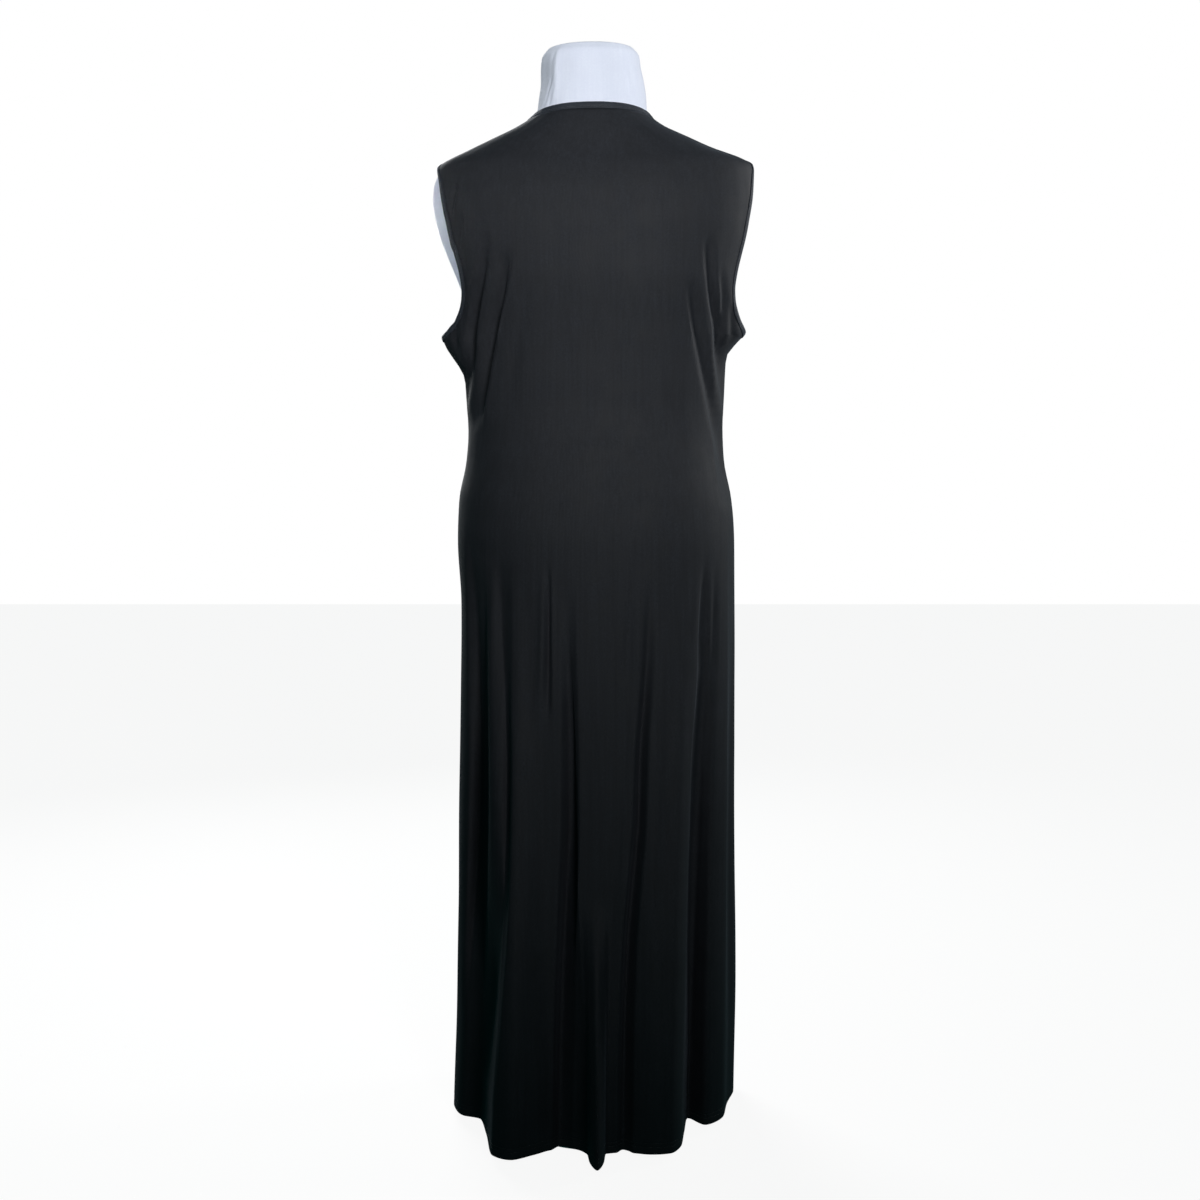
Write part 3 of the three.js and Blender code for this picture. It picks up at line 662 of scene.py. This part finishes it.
# %% The folded binding
BINDING_SECTION = [
    # share of the way from the cloth's edge to the band's own edge, and millimetres out of the cloth
    (-0.14, 0.24),
    (-0.12, 0.70),
    (0.04, 0.95),
    (0.17, 0.72),
    (0.30, 1.02),
    (0.60, 1.12),
    (0.84, 0.80),
    (0.96, 0.20),
    (1.00, -0.45),
    (0.95, -1.10),
    (0.80, -1.60),
    (0.45, -1.75),
    (0.10, -1.75),
    (-0.12, -1.62),
    (-0.13, -1.16),
    (0.03, -1.12),
    (0.03, 0.22),
]
# The thread lies in the groove of that section.
BINDING_THREAD = {"share": 0.17, "lift": 0.78}
NECK_SECTIONS = 420
ARMHOLE_SECTIONS = 90


def ring_faces(count, sides):
    """Faces of a closed tube of count sections with the given number of sides."""
    index = np.arange(count * sides).reshape(count, sides)
    ahead = np.roll(index, -1, axis=0)
    return np.stack([index, np.roll(index, -1, axis=1), np.roll(ahead, -1, axis=1), ahead], axis=-1) \
        .reshape(-1, 4)


def bind_edge(name, cloth_edge, bound_edge):
    """A folded strip round an opening. The edges are angles and heights, a pair for each section."""
    shares, lifts = np.array(BINDING_SECTION).T
    angle = cloth_edge[0][:, None] + shares * (bound_edge[0] - cloth_edge[0])[:, None]
    height = cloth_edge[1][:, None] + shares * (bound_edge[1] - cloth_edge[1])[:, None]
    points = cloth_point(angle, height, lifts + 0 * angle)
    rim = points[:, np.argmax(shares)]
    along = np.cumsum(np.linalg.norm(rim - np.roll(rim, 1, axis=0), axis=-1))
    uv = np.stack(np.broadcast_arrays(along[:, None], shares * NECK_BINDING), axis=-1)
    piece = make_piece(name, points, ring_faces(*angle.shape), uv)
    print(f"{name}: {along[-1]:.0f} mm round")
    return piece


def thread_line(cloth_edge, bound_edge, share, lift):
    """Points along a binding where its thread shows."""
    angle = cloth_edge[0] + share * (bound_edge[0] - cloth_edge[0])
    height = cloth_edge[1] + share * (bound_edge[1] - cloth_edge[1])
    return cloth_point(angle, height, lift)


def neck_edges(count):
    """The cloth's edge and the binding's edge round the neck."""
    fine = np.linspace(0, 360, 2001)
    length = path_length(cloth_point(fine, neckline_height(fine, 0)))
    angle = np.interp(np.linspace(0, length[-1], count, endpoint=False), length, fine)
    return (angle, neckline_height(angle, NECK_BINDING)), (angle, neckline_height(angle, 0))


def armhole_edges(side, count):
    """The cloth's edge and the binding's edge round an armhole: up its back and down its front."""
    share = close_at_ends(count)
    edges = []
    for bound in (False, True):
        back_turn, back_height = armhole_edge(side, "back", share, bound)
        front_turn, front_height = armhole_edge(side, "front", share[-2:0:-1], bound)
        turn = np.concatenate([back_turn, -front_turn])
        angle = turn if side == "left" else 180 - turn
        edges.append((angle, np.concatenate([back_height, front_height])))
    return edges


neck = neck_edges(NECK_SECTIONS)
neck_band = bind_edge("neck_binding_band", *neck)
armholes = {side: armhole_edges(side, ARMHOLE_SECTIONS) for side in ("left", "right")}
armhole_bands = {
    side: bind_edge(f"armhole_binding_band_{side}", *edges) for side, edges in armholes.items()
}


# %% [markdown]
# Stitches are the first thing that repeats. A Geometry Nodes tree walks along a line on the cloth
# and sets one short, plump piece of thread at every pitch, turned along the line. It needs only the
# line, so the same tree sews the twin rows of the hem and the single row of every binding.

# %% One small function that adds a node
def add(tree, kind, inputs=None, **settings):
    """A new node with its settings, its input values and the links into it."""
    node = tree.nodes.new(kind)
    for name, value in settings.items():
        setattr(node, name, value)
    for socket, value in (inputs or {}).items():
        if isinstance(value, bpy.types.NodeSocket):
            tree.links.new(value, node.inputs[socket])
        else:
            node.inputs[socket].default_value = value
    return node


# %% The tree that sews along a line
STITCH_SEED = 11
STITCH_UNEVENNESS = (0.88, 1.08)
SEWING_INPUTS = {
    "Line": "NodeSocketGeometry",
    "Pitch": "NodeSocketFloat",
    "Stitch length": "NodeSocketFloat",
    "Thread width": "NodeSocketFloat",
    "Thread": "NodeSocketMaterial",
}


def sewing_tree():
    """Geometry Nodes that turn the edges of a mesh into a row of stitches."""
    tree = bpy.data.node_groups.new("sew_along_line", "GeometryNodeTree")
    for name, kind in SEWING_INPUTS.items():
        tree.interface.new_socket(name=name, in_out="INPUT", socket_type=kind)
    tree.interface.new_socket(name="Stitches", in_out="OUTPUT", socket_type="NodeSocketGeometry")
    given = add(tree, "NodeGroupInput").outputs
    curve = add(tree, "GeometryNodeMeshToCurve", {"Mesh": given["Line"]})
    points = add(tree, "GeometryNodeCurveToPoints",
                 {"Curve": curve.outputs["Curve"], "Length": given["Pitch"]}, mode="LENGTH")
    turned = add(tree, "FunctionNodeAlignRotationToVector", {"Vector": points.outputs["Tangent"]}, axis="X")
    uneven = add(tree, "FunctionNodeRandomValue",
                 {2: STITCH_UNEVENNESS[0], 3: STITCH_UNEVENNESS[1], "Seed": STITCH_SEED}, data_type="FLOAT")
    length = add(tree, "ShaderNodeMath", {0: given["Stitch length"], 1: uneven.outputs[1]},
                 operation="MULTIPLY")
    size = add(tree, "ShaderNodeCombineXYZ",
               {"X": length.outputs[0], "Y": given["Thread width"], "Z": given["Thread width"]})
    bead = add(tree, "GeometryNodeMeshUVSphere", {"Segments": 6, "Rings": 5, "Radius": 0.5})
    placed = add(tree, "GeometryNodeInstanceOnPoints", {
        "Points": points.outputs["Points"],
        "Instance": bead.outputs["Mesh"],
        "Rotation": turned.outputs["Rotation"],
        "Scale": size.outputs["Vector"],
    })
    real = add(tree, "GeometryNodeRealizeInstances", {"Geometry": placed.outputs["Instances"]})
    soft = add(tree, "GeometryNodeSetShadeSmooth", {"Geometry": real.outputs["Geometry"]})
    dyed = add(tree, "GeometryNodeSetMaterial",
               {"Geometry": soft.outputs["Geometry"], "Material": given["Thread"]})
    add(tree, "NodeGroupOutput", {"Stitches": dyed.outputs["Geometry"]})
    return tree


def sew(name, lines, tree, values):
    """Stitches along lines of points in millimetres, as a plain mesh."""
    points = np.concatenate(lines)
    edges = []
    start = 0
    for line in lines:
        edges += [(start + step, start + step + 1) for step in range(len(line) - 1)]
        start += len(line)
    mesh = bpy.data.meshes.new(name + "_line")
    mesh.from_pydata((points * MM).tolist(), edges, [])
    piece = bpy.data.objects.new(name, mesh)
    bpy.context.scene.collection.objects.link(piece)
    modifier = piece.modifiers.new("sewing", "NODES")
    modifier.node_group = tree
    for item in tree.interface.items_tree:
        if item.in_out == "INPUT" and item.name in values:
            modifier[item.identifier] = values[item.name]
    evaluated = piece.evaluated_get(bpy.context.evaluated_depsgraph_get())
    sewn = bpy.data.meshes.new_from_object(evaluated)
    piece.modifiers.clear()
    piece.data = sewn
    sewn.name = name
    print(f"{name}: {len(sewn.polygons)} faces of thread")
    return piece


# %% [markdown]
# Materials start from what the real ones are. Slinky jersey is a fine weft knit of smooth filament
# yarn: dark, a little glossy where the light grazes it, with ribs too small to count from a step away.
# A noise texture's scale is its number of repeats to the metre, so 420 draws a grain of 2.4 mm.

# %% Colours from hex codes
def linear(code):
    """An sRGB hex colour as linear red, green, blue and alpha."""
    parts = [int(code[place:place + 2], 16) / 255 for place in (1, 3, 5)]
    colour = [part / 12.92 if part <= 0.04045 else ((part + 0.055) / 1.055) ** 2.4 for part in parts]
    return (*colour, 1)


def new_material(name):
    """An empty material and its tree."""
    material = bpy.data.materials.new(name)
    material.use_nodes = True
    material.node_tree.nodes.clear()
    return material, material.node_tree


def finish_material(tree, shader):
    """Join the shader to the material's output."""
    add(tree, "ShaderNodeOutputMaterial", {"Surface": shader.outputs["BSDF"]})


def bands_scale(pitch):
    """The Wave texture's scale that gives one band for each pitch, in metres."""
    return 2 * math.pi / (20 * pitch)


# %% Jersey
COURSE_SHARE = 0.7
SHEEN = "#a4adc0"
COVER_SHEEN = "#ffffff"


def knitted_jersey(name, dark, light, wale, roughness, sheen, sheen_tint, lint=0.0):
    """Weft-knitted jersey: upright ribs, faint patches, grain and lint, and a sheen at grazing light."""
    material, tree = new_material(name)
    place = add(tree, "ShaderNodeUVMap", uv_map="cloth").outputs["UV"]
    body = add(tree, "ShaderNodeTexCoord").outputs["Object"]
    ribs = add(tree, "ShaderNodeTexWave", {"Vector": place, "Scale": bands_scale(wale), "Distortion": 0.6,
                                           "Detail": 1.0}, bands_direction="X")
    loops = add(tree, "ShaderNodeTexWave", {"Vector": place, "Scale": bands_scale(wale * COURSE_SHARE),
                                            "Distortion": 0.8, "Detail": 1.0}, bands_direction="Y")
    knit = add(tree, "ShaderNodeMath", {0: ribs.outputs["Fac"], 1: loops.outputs["Fac"]},
               operation="MULTIPLY")
    # Patches of 26 mm, a grain of 2.4 mm, and streaks of yarn 4 mm wide and 170 mm long.
    patches = add(tree, "ShaderNodeTexNoise", {"Vector": body, "Scale": 38.0, "Detail": 4.0})
    grain = add(tree, "ShaderNodeTexNoise", {"Vector": body, "Scale": 420.0, "Detail": 2.0})
    drawn = add(tree, "ShaderNodeMapping", {"Vector": body, "Scale": (260.0, 260.0, 6.0)})
    yarn = add(tree, "ShaderNodeTexNoise", {"Vector": drawn.outputs["Vector"], "Scale": 1.0,
                                            "Detail": 2.0})
    blend = add(tree, "ShaderNodeMath", {0: patches.outputs["Fac"], 1: yarn.outputs["Fac"]},
                operation="MULTIPLY")
    grained = add(tree, "ShaderNodeMath", {0: blend.outputs[0], 1: grain.outputs["Fac"]},
                  operation="MULTIPLY")
    shade = add(tree, "ShaderNodeMapRange", {"Value": grained.outputs[0], "From Min": 0.02,
                                             "From Max": 0.28})
    colour = add(tree, "ShaderNodeMix", {"Factor": shade.outputs["Result"], 6: linear(dark),
                                         7: linear(light)}, data_type="RGBA")
    # Lint: a speck less than 2 mm wide in a few of the cells, which are 42 mm wide.
    specks = add(tree, "ShaderNodeTexVoronoi", {"Vector": body, "Scale": 24.0})
    near = add(tree, "ShaderNodeMath", {0: specks.outputs["Distance"], 1: 0.022}, operation="LESS_THAN")
    chosen = add(tree, "ShaderNodeSeparateColor", {"Color": specks.outputs["Color"]})
    rare = add(tree, "ShaderNodeMath", {0: chosen.outputs["Red"], 1: 1 - lint}, operation="GREATER_THAN")
    fleck = add(tree, "ShaderNodeMath", {0: near.outputs[0], 1: rare.outputs[0]}, operation="MULTIPLY")
    dusted = add(tree, "ShaderNodeMix", {"Factor": fleck.outputs[0], 6: colour.outputs[2],
                                         7: linear("#6c6e70")}, data_type="RGBA")
    gloss = add(tree, "ShaderNodeMapRange", {"Value": patches.outputs["Fac"], "From Min": 0.3,
                                             "From Max": 0.7, "To Min": roughness - 0.04,
                                             "To Max": roughness + 0.05})
    relief = add(tree, "ShaderNodeBump", {"Height": knit.outputs[0], "Strength": 0.35, "Distance": 0.00035})
    shader = add(tree, "ShaderNodeBsdfPrincipled", {
        "Base Color": dusted.outputs[2],
        "Roughness": gloss.outputs["Result"],
        "Normal": relief.outputs["Normal"],
        "Specular IOR Level": 0.25,
        "Sheen Weight": sheen,
        "Sheen Roughness": 0.38,
        "Sheen Tint": linear(sheen_tint),
    })
    finish_material(tree, shader)
    return material


# The ribs of slinky jersey lie 0.7 mm apart; they are drawn 1.8 mm apart so that they just show.
slinky_jersey = knitted_jersey("slinky_jersey", "#1c1d22", "#25272d", 1.8 * MM, 0.70, 0.12, SHEEN, 0.05)
# The bindings are the same cloth, folded and stretched, so they shine a little more. Their lighter colour
# is painted highlight along the rounded band.
binding_jersey_painted_highlight = knitted_jersey("binding_jersey_painted_highlight", "#25282f", "#31353e", 1.4 * MM, 0.62, 0.30, SHEEN)
# The form's cover is a white stretch jersey, matt, with a cool tint, its ribs drawn 1.5 mm apart.
cover_jersey = knitted_jersey("stretch_cover_jersey", "#e0e4f5", "#e8ecfb", 1.5 * MM, 0.78, 0.15,
                              COVER_SHEEN)
print("knitted materials:", slinky_jersey.name, binding_jersey_painted_highlight.name, cover_jersey.name)


# %% Thread, steel and powder coat
def spun_polyester_thread():
    """Black sewing thread: a tight twist that catches a small hard light, with fibres 0.4 mm apart."""
    material, tree = new_material("spun_polyester_thread")
    body = add(tree, "ShaderNodeTexCoord").outputs["Object"]
    fibres = add(tree, "ShaderNodeTexNoise", {"Vector": body, "Scale": 2600.0, "Detail": 2.0})
    colour = add(tree, "ShaderNodeMix", {"Factor": fibres.outputs["Fac"], 6: linear("#141517"),
                                         7: linear("#2b2d31")}, data_type="RGBA")
    relief = add(tree, "ShaderNodeBump", {"Height": fibres.outputs["Fac"], "Strength": 0.4,
                                          "Distance": 0.0001})
    shader = add(tree, "ShaderNodeBsdfPrincipled", {
        "Base Color": colour.outputs[2], "Roughness": 0.42, "Normal": relief.outputs["Normal"],
        "Sheen Weight": 0.2, "Sheen Roughness": 0.4})
    finish_material(tree, shader)
    return material


def brushed_steel():
    """Stainless tube brushed along its length: scratches 0.7 mm apart, which stretch highlights."""
    material, tree = new_material("brushed_stainless_steel")
    body = add(tree, "ShaderNodeTexCoord").outputs["Object"]
    drawn = add(tree, "ShaderNodeMapping", {"Vector": body, "Scale": (1400.0, 1400.0, 9.0)})
    scratches = add(tree, "ShaderNodeTexNoise", {"Vector": drawn.outputs["Vector"], "Scale": 1.0,
                                                 "Detail": 3.0})
    gloss = add(tree, "ShaderNodeMapRange", {"Value": scratches.outputs["Fac"], "From Min": 0.3,
                                             "From Max": 0.7, "To Min": 0.24, "To Max": 0.38})
    relief = add(tree, "ShaderNodeBump", {"Height": scratches.outputs["Fac"], "Strength": 0.25,
                                          "Distance": 0.0001})
    shader = add(tree, "ShaderNodeBsdfPrincipled", {
        "Base Color": linear("#b9bcc0"), "Metallic": 1.0, "Roughness": gloss.outputs["Result"],
        "Normal": relief.outputs["Normal"]})
    finish_material(tree, shader)
    return material


def powder_coat():
    """White powder coat baked on steel: an even colour over a low orange-peel surface of 1.6 mm."""
    material, tree = new_material("white_powder_coat")
    body = add(tree, "ShaderNodeTexCoord").outputs["Object"]
    peel = add(tree, "ShaderNodeTexNoise", {"Vector": body, "Scale": 620.0, "Detail": 2.0})
    dust = add(tree, "ShaderNodeTexNoise", {"Vector": body, "Scale": 22.0, "Detail": 5.0})
    colour = add(tree, "ShaderNodeMix", {"Factor": dust.outputs["Fac"], 6: linear("#d9dadb"),
                                         7: linear("#eceded")}, data_type="RGBA")
    relief = add(tree, "ShaderNodeBump", {"Height": peel.outputs["Fac"], "Strength": 0.3,
                                          "Distance": 0.0002})
    shader = add(tree, "ShaderNodeBsdfPrincipled", {
        "Base Color": colour.outputs[2], "Roughness": 0.42, "Normal": relief.outputs["Normal"],
        "Coat Weight": 0.15, "Coat Roughness": 0.3})
    finish_material(tree, shader)
    return material


thread = spun_polyester_thread()
steel = brushed_steel()
coat = powder_coat()
print("hard materials:", thread.name, steel.name, coat.name)

# %% Sew the hem and the bindings
STITCH = {"Pitch": 3.4 * MM, "Stitch length": 2.9 * MM, "Thread width": 0.55 * MM, "Thread": thread}
HEM_THREAD_LIFT = 0.05 - HEM_LINE_DIP
HEM_THREAD_POINTS = 1441

sewing = sewing_tree()
around = np.linspace(0, 360, HEM_THREAD_POINTS)
hem_threads = [cloth_point(around, np.full(around.shape, line), HEM_THREAD_LIFT) for line in HEM_LINES]
hem_stitches = sew("hem_twin_stitches", hem_threads, sewing, STITCH)
binding_threads = [thread_line(*edges, **BINDING_THREAD) for edges in (neck, *armholes.values())]
binding_threads = [np.concatenate([line, line[:1]]) for line in binding_threads]
binding_stitches = sew("binding_stitches", binding_threads, sewing, STITCH)


# %% [markdown]
# The dress form is a firm body under a tight stretch cover, cut off at the hips and at the neck. The
# cover lies smooth except at the neck, where it gathers in small tucks, most of them at the left. It
# is lofted through its level sections, and a rounded cap closes the neck.

# %% The form
FORM_SQUARENESS = 2.2
FORM_TOP = 1411
FORM = table("height left right back front", [
    (670, 166, 166, 116, 96),
    (725, 170, 170, 122, 100),
    (775, 171, 171, 123, 102),
    (828, 165, 165, 116, 100),
    (881, 147, 147, 100, 94),
    (935, 127, 127, 88, 90),
    (990, 134, 134, 88, 102),
    (1045, 152, 152, 92, 119),
    (1085, 166, 168, 97, 124),
    (1118, 178, 181, 102, 116),
    (1146, 189, 191, 104, 108),
    (1176, 199.5, 199, 103, 99),
    (1215, 206.5, 206, 97, 86),
    (1233, 205.5, 206, 92, 80),
    (1246, 201, 203.5, 88, 76),
    (1255, 196, 199.5, 84, 73),
    (1262, 190, 192, 80, 71),
    (1277, 160, 153, 75, 66),
    (1292, 127.5, 120.5, 69, 61),
    (1307, 93.5, 89, 63, 56),
    (1322, 71, 72.5, 57.5, 53),
    (1344, 67.5, 71.5, 55.5, 52),
    (1363, 64.5, 69, 55, 52),
    (1382, 64, 65, 55, 52),
    (1397, 62, 63, 53, 50),
    (1404, 56, 57, 47, 44),
])
FORM_COLUMNS = 168
FORM_ROWS = 190
CAP_ROWS = 12
TUCK_GROWTH = 0.6
NECK_TUCKS = [
    # line from low to high as (angle, height), half width in degrees, depth
    ([(38, 1322), (44, 1342), (50, 1362)], 2.6, 1.3),
    ([(28, 1322), (36, 1345), (44, 1370)], 2.4, 1.1),
    ([(43, 1384), (46, 1392), (50, 1398)], 3.0, 1.2),
    ([(140, 1322), (134, 1346), (130, 1376)], 3.0, 0.7),
    ([(47, 1335), (50, 1366), (52, 1404)], 6.0, -2.6),
    ([(22, 1332), (24, 1368), (26, 1404)], 13.0, 2.6),
    ([(318, 1322), (312, 1350), (306, 1380)], 3.0, 1.0),
    ([(224, 1322), (230, 1348), (236, 1372)], 3.0, 0.9),
]


def tuck_relief(angle, height):
    """Millimetres that the cover's tucks lift it, below zero in a tuck."""
    relief = 0 * angle
    for line, half, depth in NECK_TUCKS:
        angles, heights = np.array(line, float).T
        share = np.clip((height - heights[0]) / (heights[-1] - heights[0]), 0, 1)
        away = (angle - smooth(heights, angles, height)) / half
        relief = relief - depth * np.sin(np.pi * share) ** TUCK_GROWTH * np.exp(-away ** 2)
    return relief


def form_point(angle, height):
    """A point of the form's cover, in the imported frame."""
    x, y = section_point(FORM, FORM_SQUARENESS, angle, height)
    outward = np.stack([np.cos(np.radians(angle)), np.sin(np.radians(angle))])
    relief = tuck_relief(np.mod(angle, 360), height)
    return lean(x + outward[0] * relief, y + outward[1] * relief, height)


def closed_rings(name, rings, tips, uv=None):
    """A closed piece from rings of points, lowest first, and the two tips that close its ends."""
    index = np.arange(rings[..., 0].size).reshape(rings.shape[:2])
    ahead = np.roll(index, -1, axis=1)
    faces = np.stack([index[:-1], ahead[:-1], ahead[1:], index[1:]], axis=-1).reshape(-1, 4).tolist()
    faces += [(index.size, b, a) for a, b in zip(index[0], ahead[0])]
    faces += [(index.size + 1, a, b) for a, b in zip(index[-1], ahead[-1])]
    return make_piece(name, np.concatenate([rings.reshape(-1, 3), tips]), faces, uv)


def make_form():
    """The whole cover, closed by a flat underside and a rounded cap."""
    angles = np.linspace(0, 360, FORM_COLUMNS, endpoint=False)[None, :]
    heights = np.linspace(FORM["height"][0], FORM["height"][-1], FORM_ROWS)[:, None]
    side = form_point(angles + 0 * heights, heights + 0 * angles)
    rim_height = FORM["height"][-1]
    rise = np.linspace(0, 1, CAP_ROWS + 1)[1:-1][:, None] * np.pi / 2
    rim_x, rim_y = section_point(FORM, FORM_SQUARENESS, angles, rim_height + 0 * angles)
    cap = lean(rim_x * np.cos(rise), rim_y * np.cos(rise),
               rim_height + (FORM_TOP - rim_height) * np.sin(rise) + 0 * angles)
    rings = np.concatenate([side, cap])
    tips = lean(np.zeros(2), np.zeros(2), np.array([FORM["height"][0], FORM_TOP]))
    girth = path_length(side[FORM_ROWS // 2])
    uv = np.stack(np.broadcast_arrays(girth, rings[..., 2]), axis=-1).reshape(-1, 2)
    uv = np.concatenate([uv, [[0, 0], [0, FORM_TOP]]])
    return closed_rings("form_cover", rings, tips, uv)


form_cover = make_form()


# %% [markdown]
# A brushed steel pole carries the form, and stands in the hub of a round weighted base. Both are
# turned pieces: one outline, swept once round an upright axis, with small rounded edges.

# %% The pole and the base
POLE_RADIUS = 12.5
BASE_RADIUS = 120
BASE_PLATE = 8
HUB_RADIUS = 24
HUB_HEIGHT = 46
FIT_GAP = 0.3
EDGE_ROUND = 2
HUB_FILLET = 3
TURN_STEPS = 128
SHARP_EDGE = math.radians(35)


def rounded(outline, steps=5):
    """An outline of (radius, height, rounding) corners with its corners rounded."""
    line = []
    for place, (radius, height, bend) in enumerate(outline):
        corner = np.array([radius, height], float)
        if bend == 0:
            line.append(corner)
            continue
        before = np.array(outline[place - 1][:2], float) - corner
        after = np.array(outline[place + 1][:2], float) - corner
        start = corner + bend * before / np.linalg.norm(before)
        end = corner + bend * after / np.linalg.norm(after)
        for share in np.linspace(0, 1, steps + 1):
            line.append((1 - share) ** 2 * start + 2 * share * (1 - share) * corner + share ** 2 * end)
    return np.array(line)


def turned(name, outline):
    """A piece turned round the upright axis. The outline starts and ends on the axis."""
    line = rounded(outline)
    ring = line[1:-1]
    turns = np.radians(np.linspace(0, 360, TURN_STEPS, endpoint=False))
    rings = np.stack([ring[:, 0, None] * np.cos(turns), ring[:, 0, None] * np.sin(turns),
                      ring[:, 1, None] + 0 * turns], axis=-1)
    piece = closed_rings(name, rings, [[0, 0, line[0][1]], [0, 0, line[-1][1]]])
    piece.data.set_sharp_from_angle(angle=SHARP_EDGE)
    return piece


pole_low = BASE_PLATE + FIT_GAP
pole_high = HEM_CLEARANCE + FORM["height"][0] - FIT_GAP
pole = turned("steel_pole", [
    (0, pole_low, 0),
    (POLE_RADIUS, pole_low, 1),
    (POLE_RADIUS, pole_high, 1),
    (0, pole_high, 0),
])
socket = POLE_RADIUS + FIT_GAP
base = turned("weighted_base", [
    (0, 0, 0),
    (BASE_RADIUS, 0, EDGE_ROUND),
    (BASE_RADIUS, BASE_PLATE, EDGE_ROUND),
    (HUB_RADIUS, BASE_PLATE, HUB_FILLET),
    (HUB_RADIUS, HUB_HEIGHT, EDGE_ROUND),
    (socket, HUB_HEIGHT, 0.8),
    (socket, BASE_PLATE, 0),
    (0, BASE_PLATE, 0),
])

# %% [markdown]
# Every piece now takes its material, hides the imported piece that it stands for, where there is one,
# and rides on the root body.

pieces = [
    (dress_back, slinky_jersey, "jersey", ["dress_back"]),
    (dress_front, slinky_jersey, "jersey", ["dress_front"]),
    (neck_band, binding_jersey_painted_highlight, "binding", ["neck_binding"]),
    (armhole_bands["left"], binding_jersey_painted_highlight, "binding", ["armhole_binding_left"]),
    (armhole_bands["right"], binding_jersey_painted_highlight, "binding", ["armhole_binding_right"]),
    (hem_stitches, thread, "jersey", []),
    (binding_stitches, thread, "binding", []),
    (form_cover, cover_jersey, "cover", ["form_body"]),
    (pole, steel, "pole_steel", ["form_pole"]),
    (base, coat, "base_paint", ["form_base"]),
]
for piece, material, slot, nodes in pieces:
    piece.data.materials.clear()
    piece.data.materials.append(material)
    if nodes:
        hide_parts(*nodes)
    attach(piece, "root")
print("pieces on the form:", [piece.name for piece, *_ in pieces])

# %% [markdown]
# The stage is a plain pale floor in front of white. Black cloth shows its form only through the way
# light falls off round it. A soft key light almost over the camera does most of the work. A rim light
# stands a little past the right side, so that it touches only the crests which turn away there, as in
# the photo. A weak fill keeps the left side readable, and a tiny light reaches the form's left arm.
# These are narrow and aimed high, so the skirt falls into the dark by itself, and the room adds only
# a faint green-blue. A wide light shows the front, which the photo doesn't have.

# %% Floor and white surround
FLOOR_SIZE = 14.0
FLOOR_GLOW = 0.92
scene = bpy.context.scene
scene.view_settings.view_transform = "Standard"


def pale_floor():
    """Matt white studio floor, mostly lit by itself so that it stays pale under a narrow light."""
    material, tree = new_material("matt_white_floor")
    matt = add(tree, "ShaderNodeBsdfPrincipled", {
        "Base Color": linear("#6a6a6a"), "Roughness": 0.9, "Specular IOR Level": 0.1,
        "Emission Color": linear("#ffffff"), "Emission Strength": FLOOR_GLOW})
    finish_material(tree, matt)
    return material


floor_mesh = bpy.data.meshes.new("floor")
half = FLOOR_SIZE / 2
floor_corners = [(-half, -half, 0), (half, -half, 0), (half, half, 0), (-half, half, 0)]
floor_mesh.from_pydata(floor_corners, [], [(0, 1, 2, 3)])
floor = bpy.data.objects.new("floor", floor_mesh)
floor.data.materials.append(pale_floor())
scene.collection.objects.link(floor)
floor.visible_diffuse = False
floor.visible_glossy = False
print("floor:", FLOOR_SIZE, "m wide")

# %% White to look at, and nearly dark as a light
ROOM_LIGHT = 0.042
ROOM_TINT = "#7cfff6"

world = bpy.data.worlds.new("white_surround")
scene.world = world
world.use_nodes = True
room = world.node_tree
room.nodes.clear()
seen = add(room, "ShaderNodeLightPath").outputs["Is Camera Ray"]
strength = add(room, "ShaderNodeMapRange", {"Value": seen, "To Min": ROOM_LIGHT, "To Max": 1.0})
tint = add(room, "ShaderNodeMix", {"Factor": seen, 6: linear(ROOM_TINT), 7: (1, 1, 1, 1)},
           data_type="RGBA")
white = add(room, "ShaderNodeBackground", {"Color": tint.outputs[2], "Strength": strength.outputs[0]})
add(room, "ShaderNodeOutputWorld", {"Surface": white.outputs["Background"]})
print("room light:", ROOM_LIGHT)

# %% Lights
LIGHTS = [
    # name, place, aim, size, watts, spread in degrees
    ("key_light", (-0.62, 2.32, 1.75), (0.0, 0.0, 1.25), 0.5, 4.45, 57),
    ("rim_light", (-2.28, -0.74, 1.75), (0.0, 0.0, 1.27), 0.7, 3.9, 58),
    ("fill_light", (1.48, 1.89, 1.75), (0.0, 0.0, 1.34), 0.5, 0.75, 37),
    ("armhole_light", (2.30, -0.40, 1.45), (0.2, 0.0, 1.20), 0.1, 0.031, 5),
    ("front_light", (0.9, -2.2, 1.9), (0.0, 0.0, 0.9), 1.6, 24, 120),
]
for name, place, aim, size, watts, spread in LIGHTS:
    data = bpy.data.lights.new(name, "AREA")
    data.shape = "SQUARE"
    data.size = size
    data.energy = watts
    data.spread = math.radians(spread)
    light = bpy.data.objects.new(name, data)
    light.location = place
    light.rotation_euler = (Vector(aim) - Vector(place)).to_track_quat("-Z", "Y").to_euler()
    scene.collection.objects.link(light)
print("lights:", len(LIGHTS))
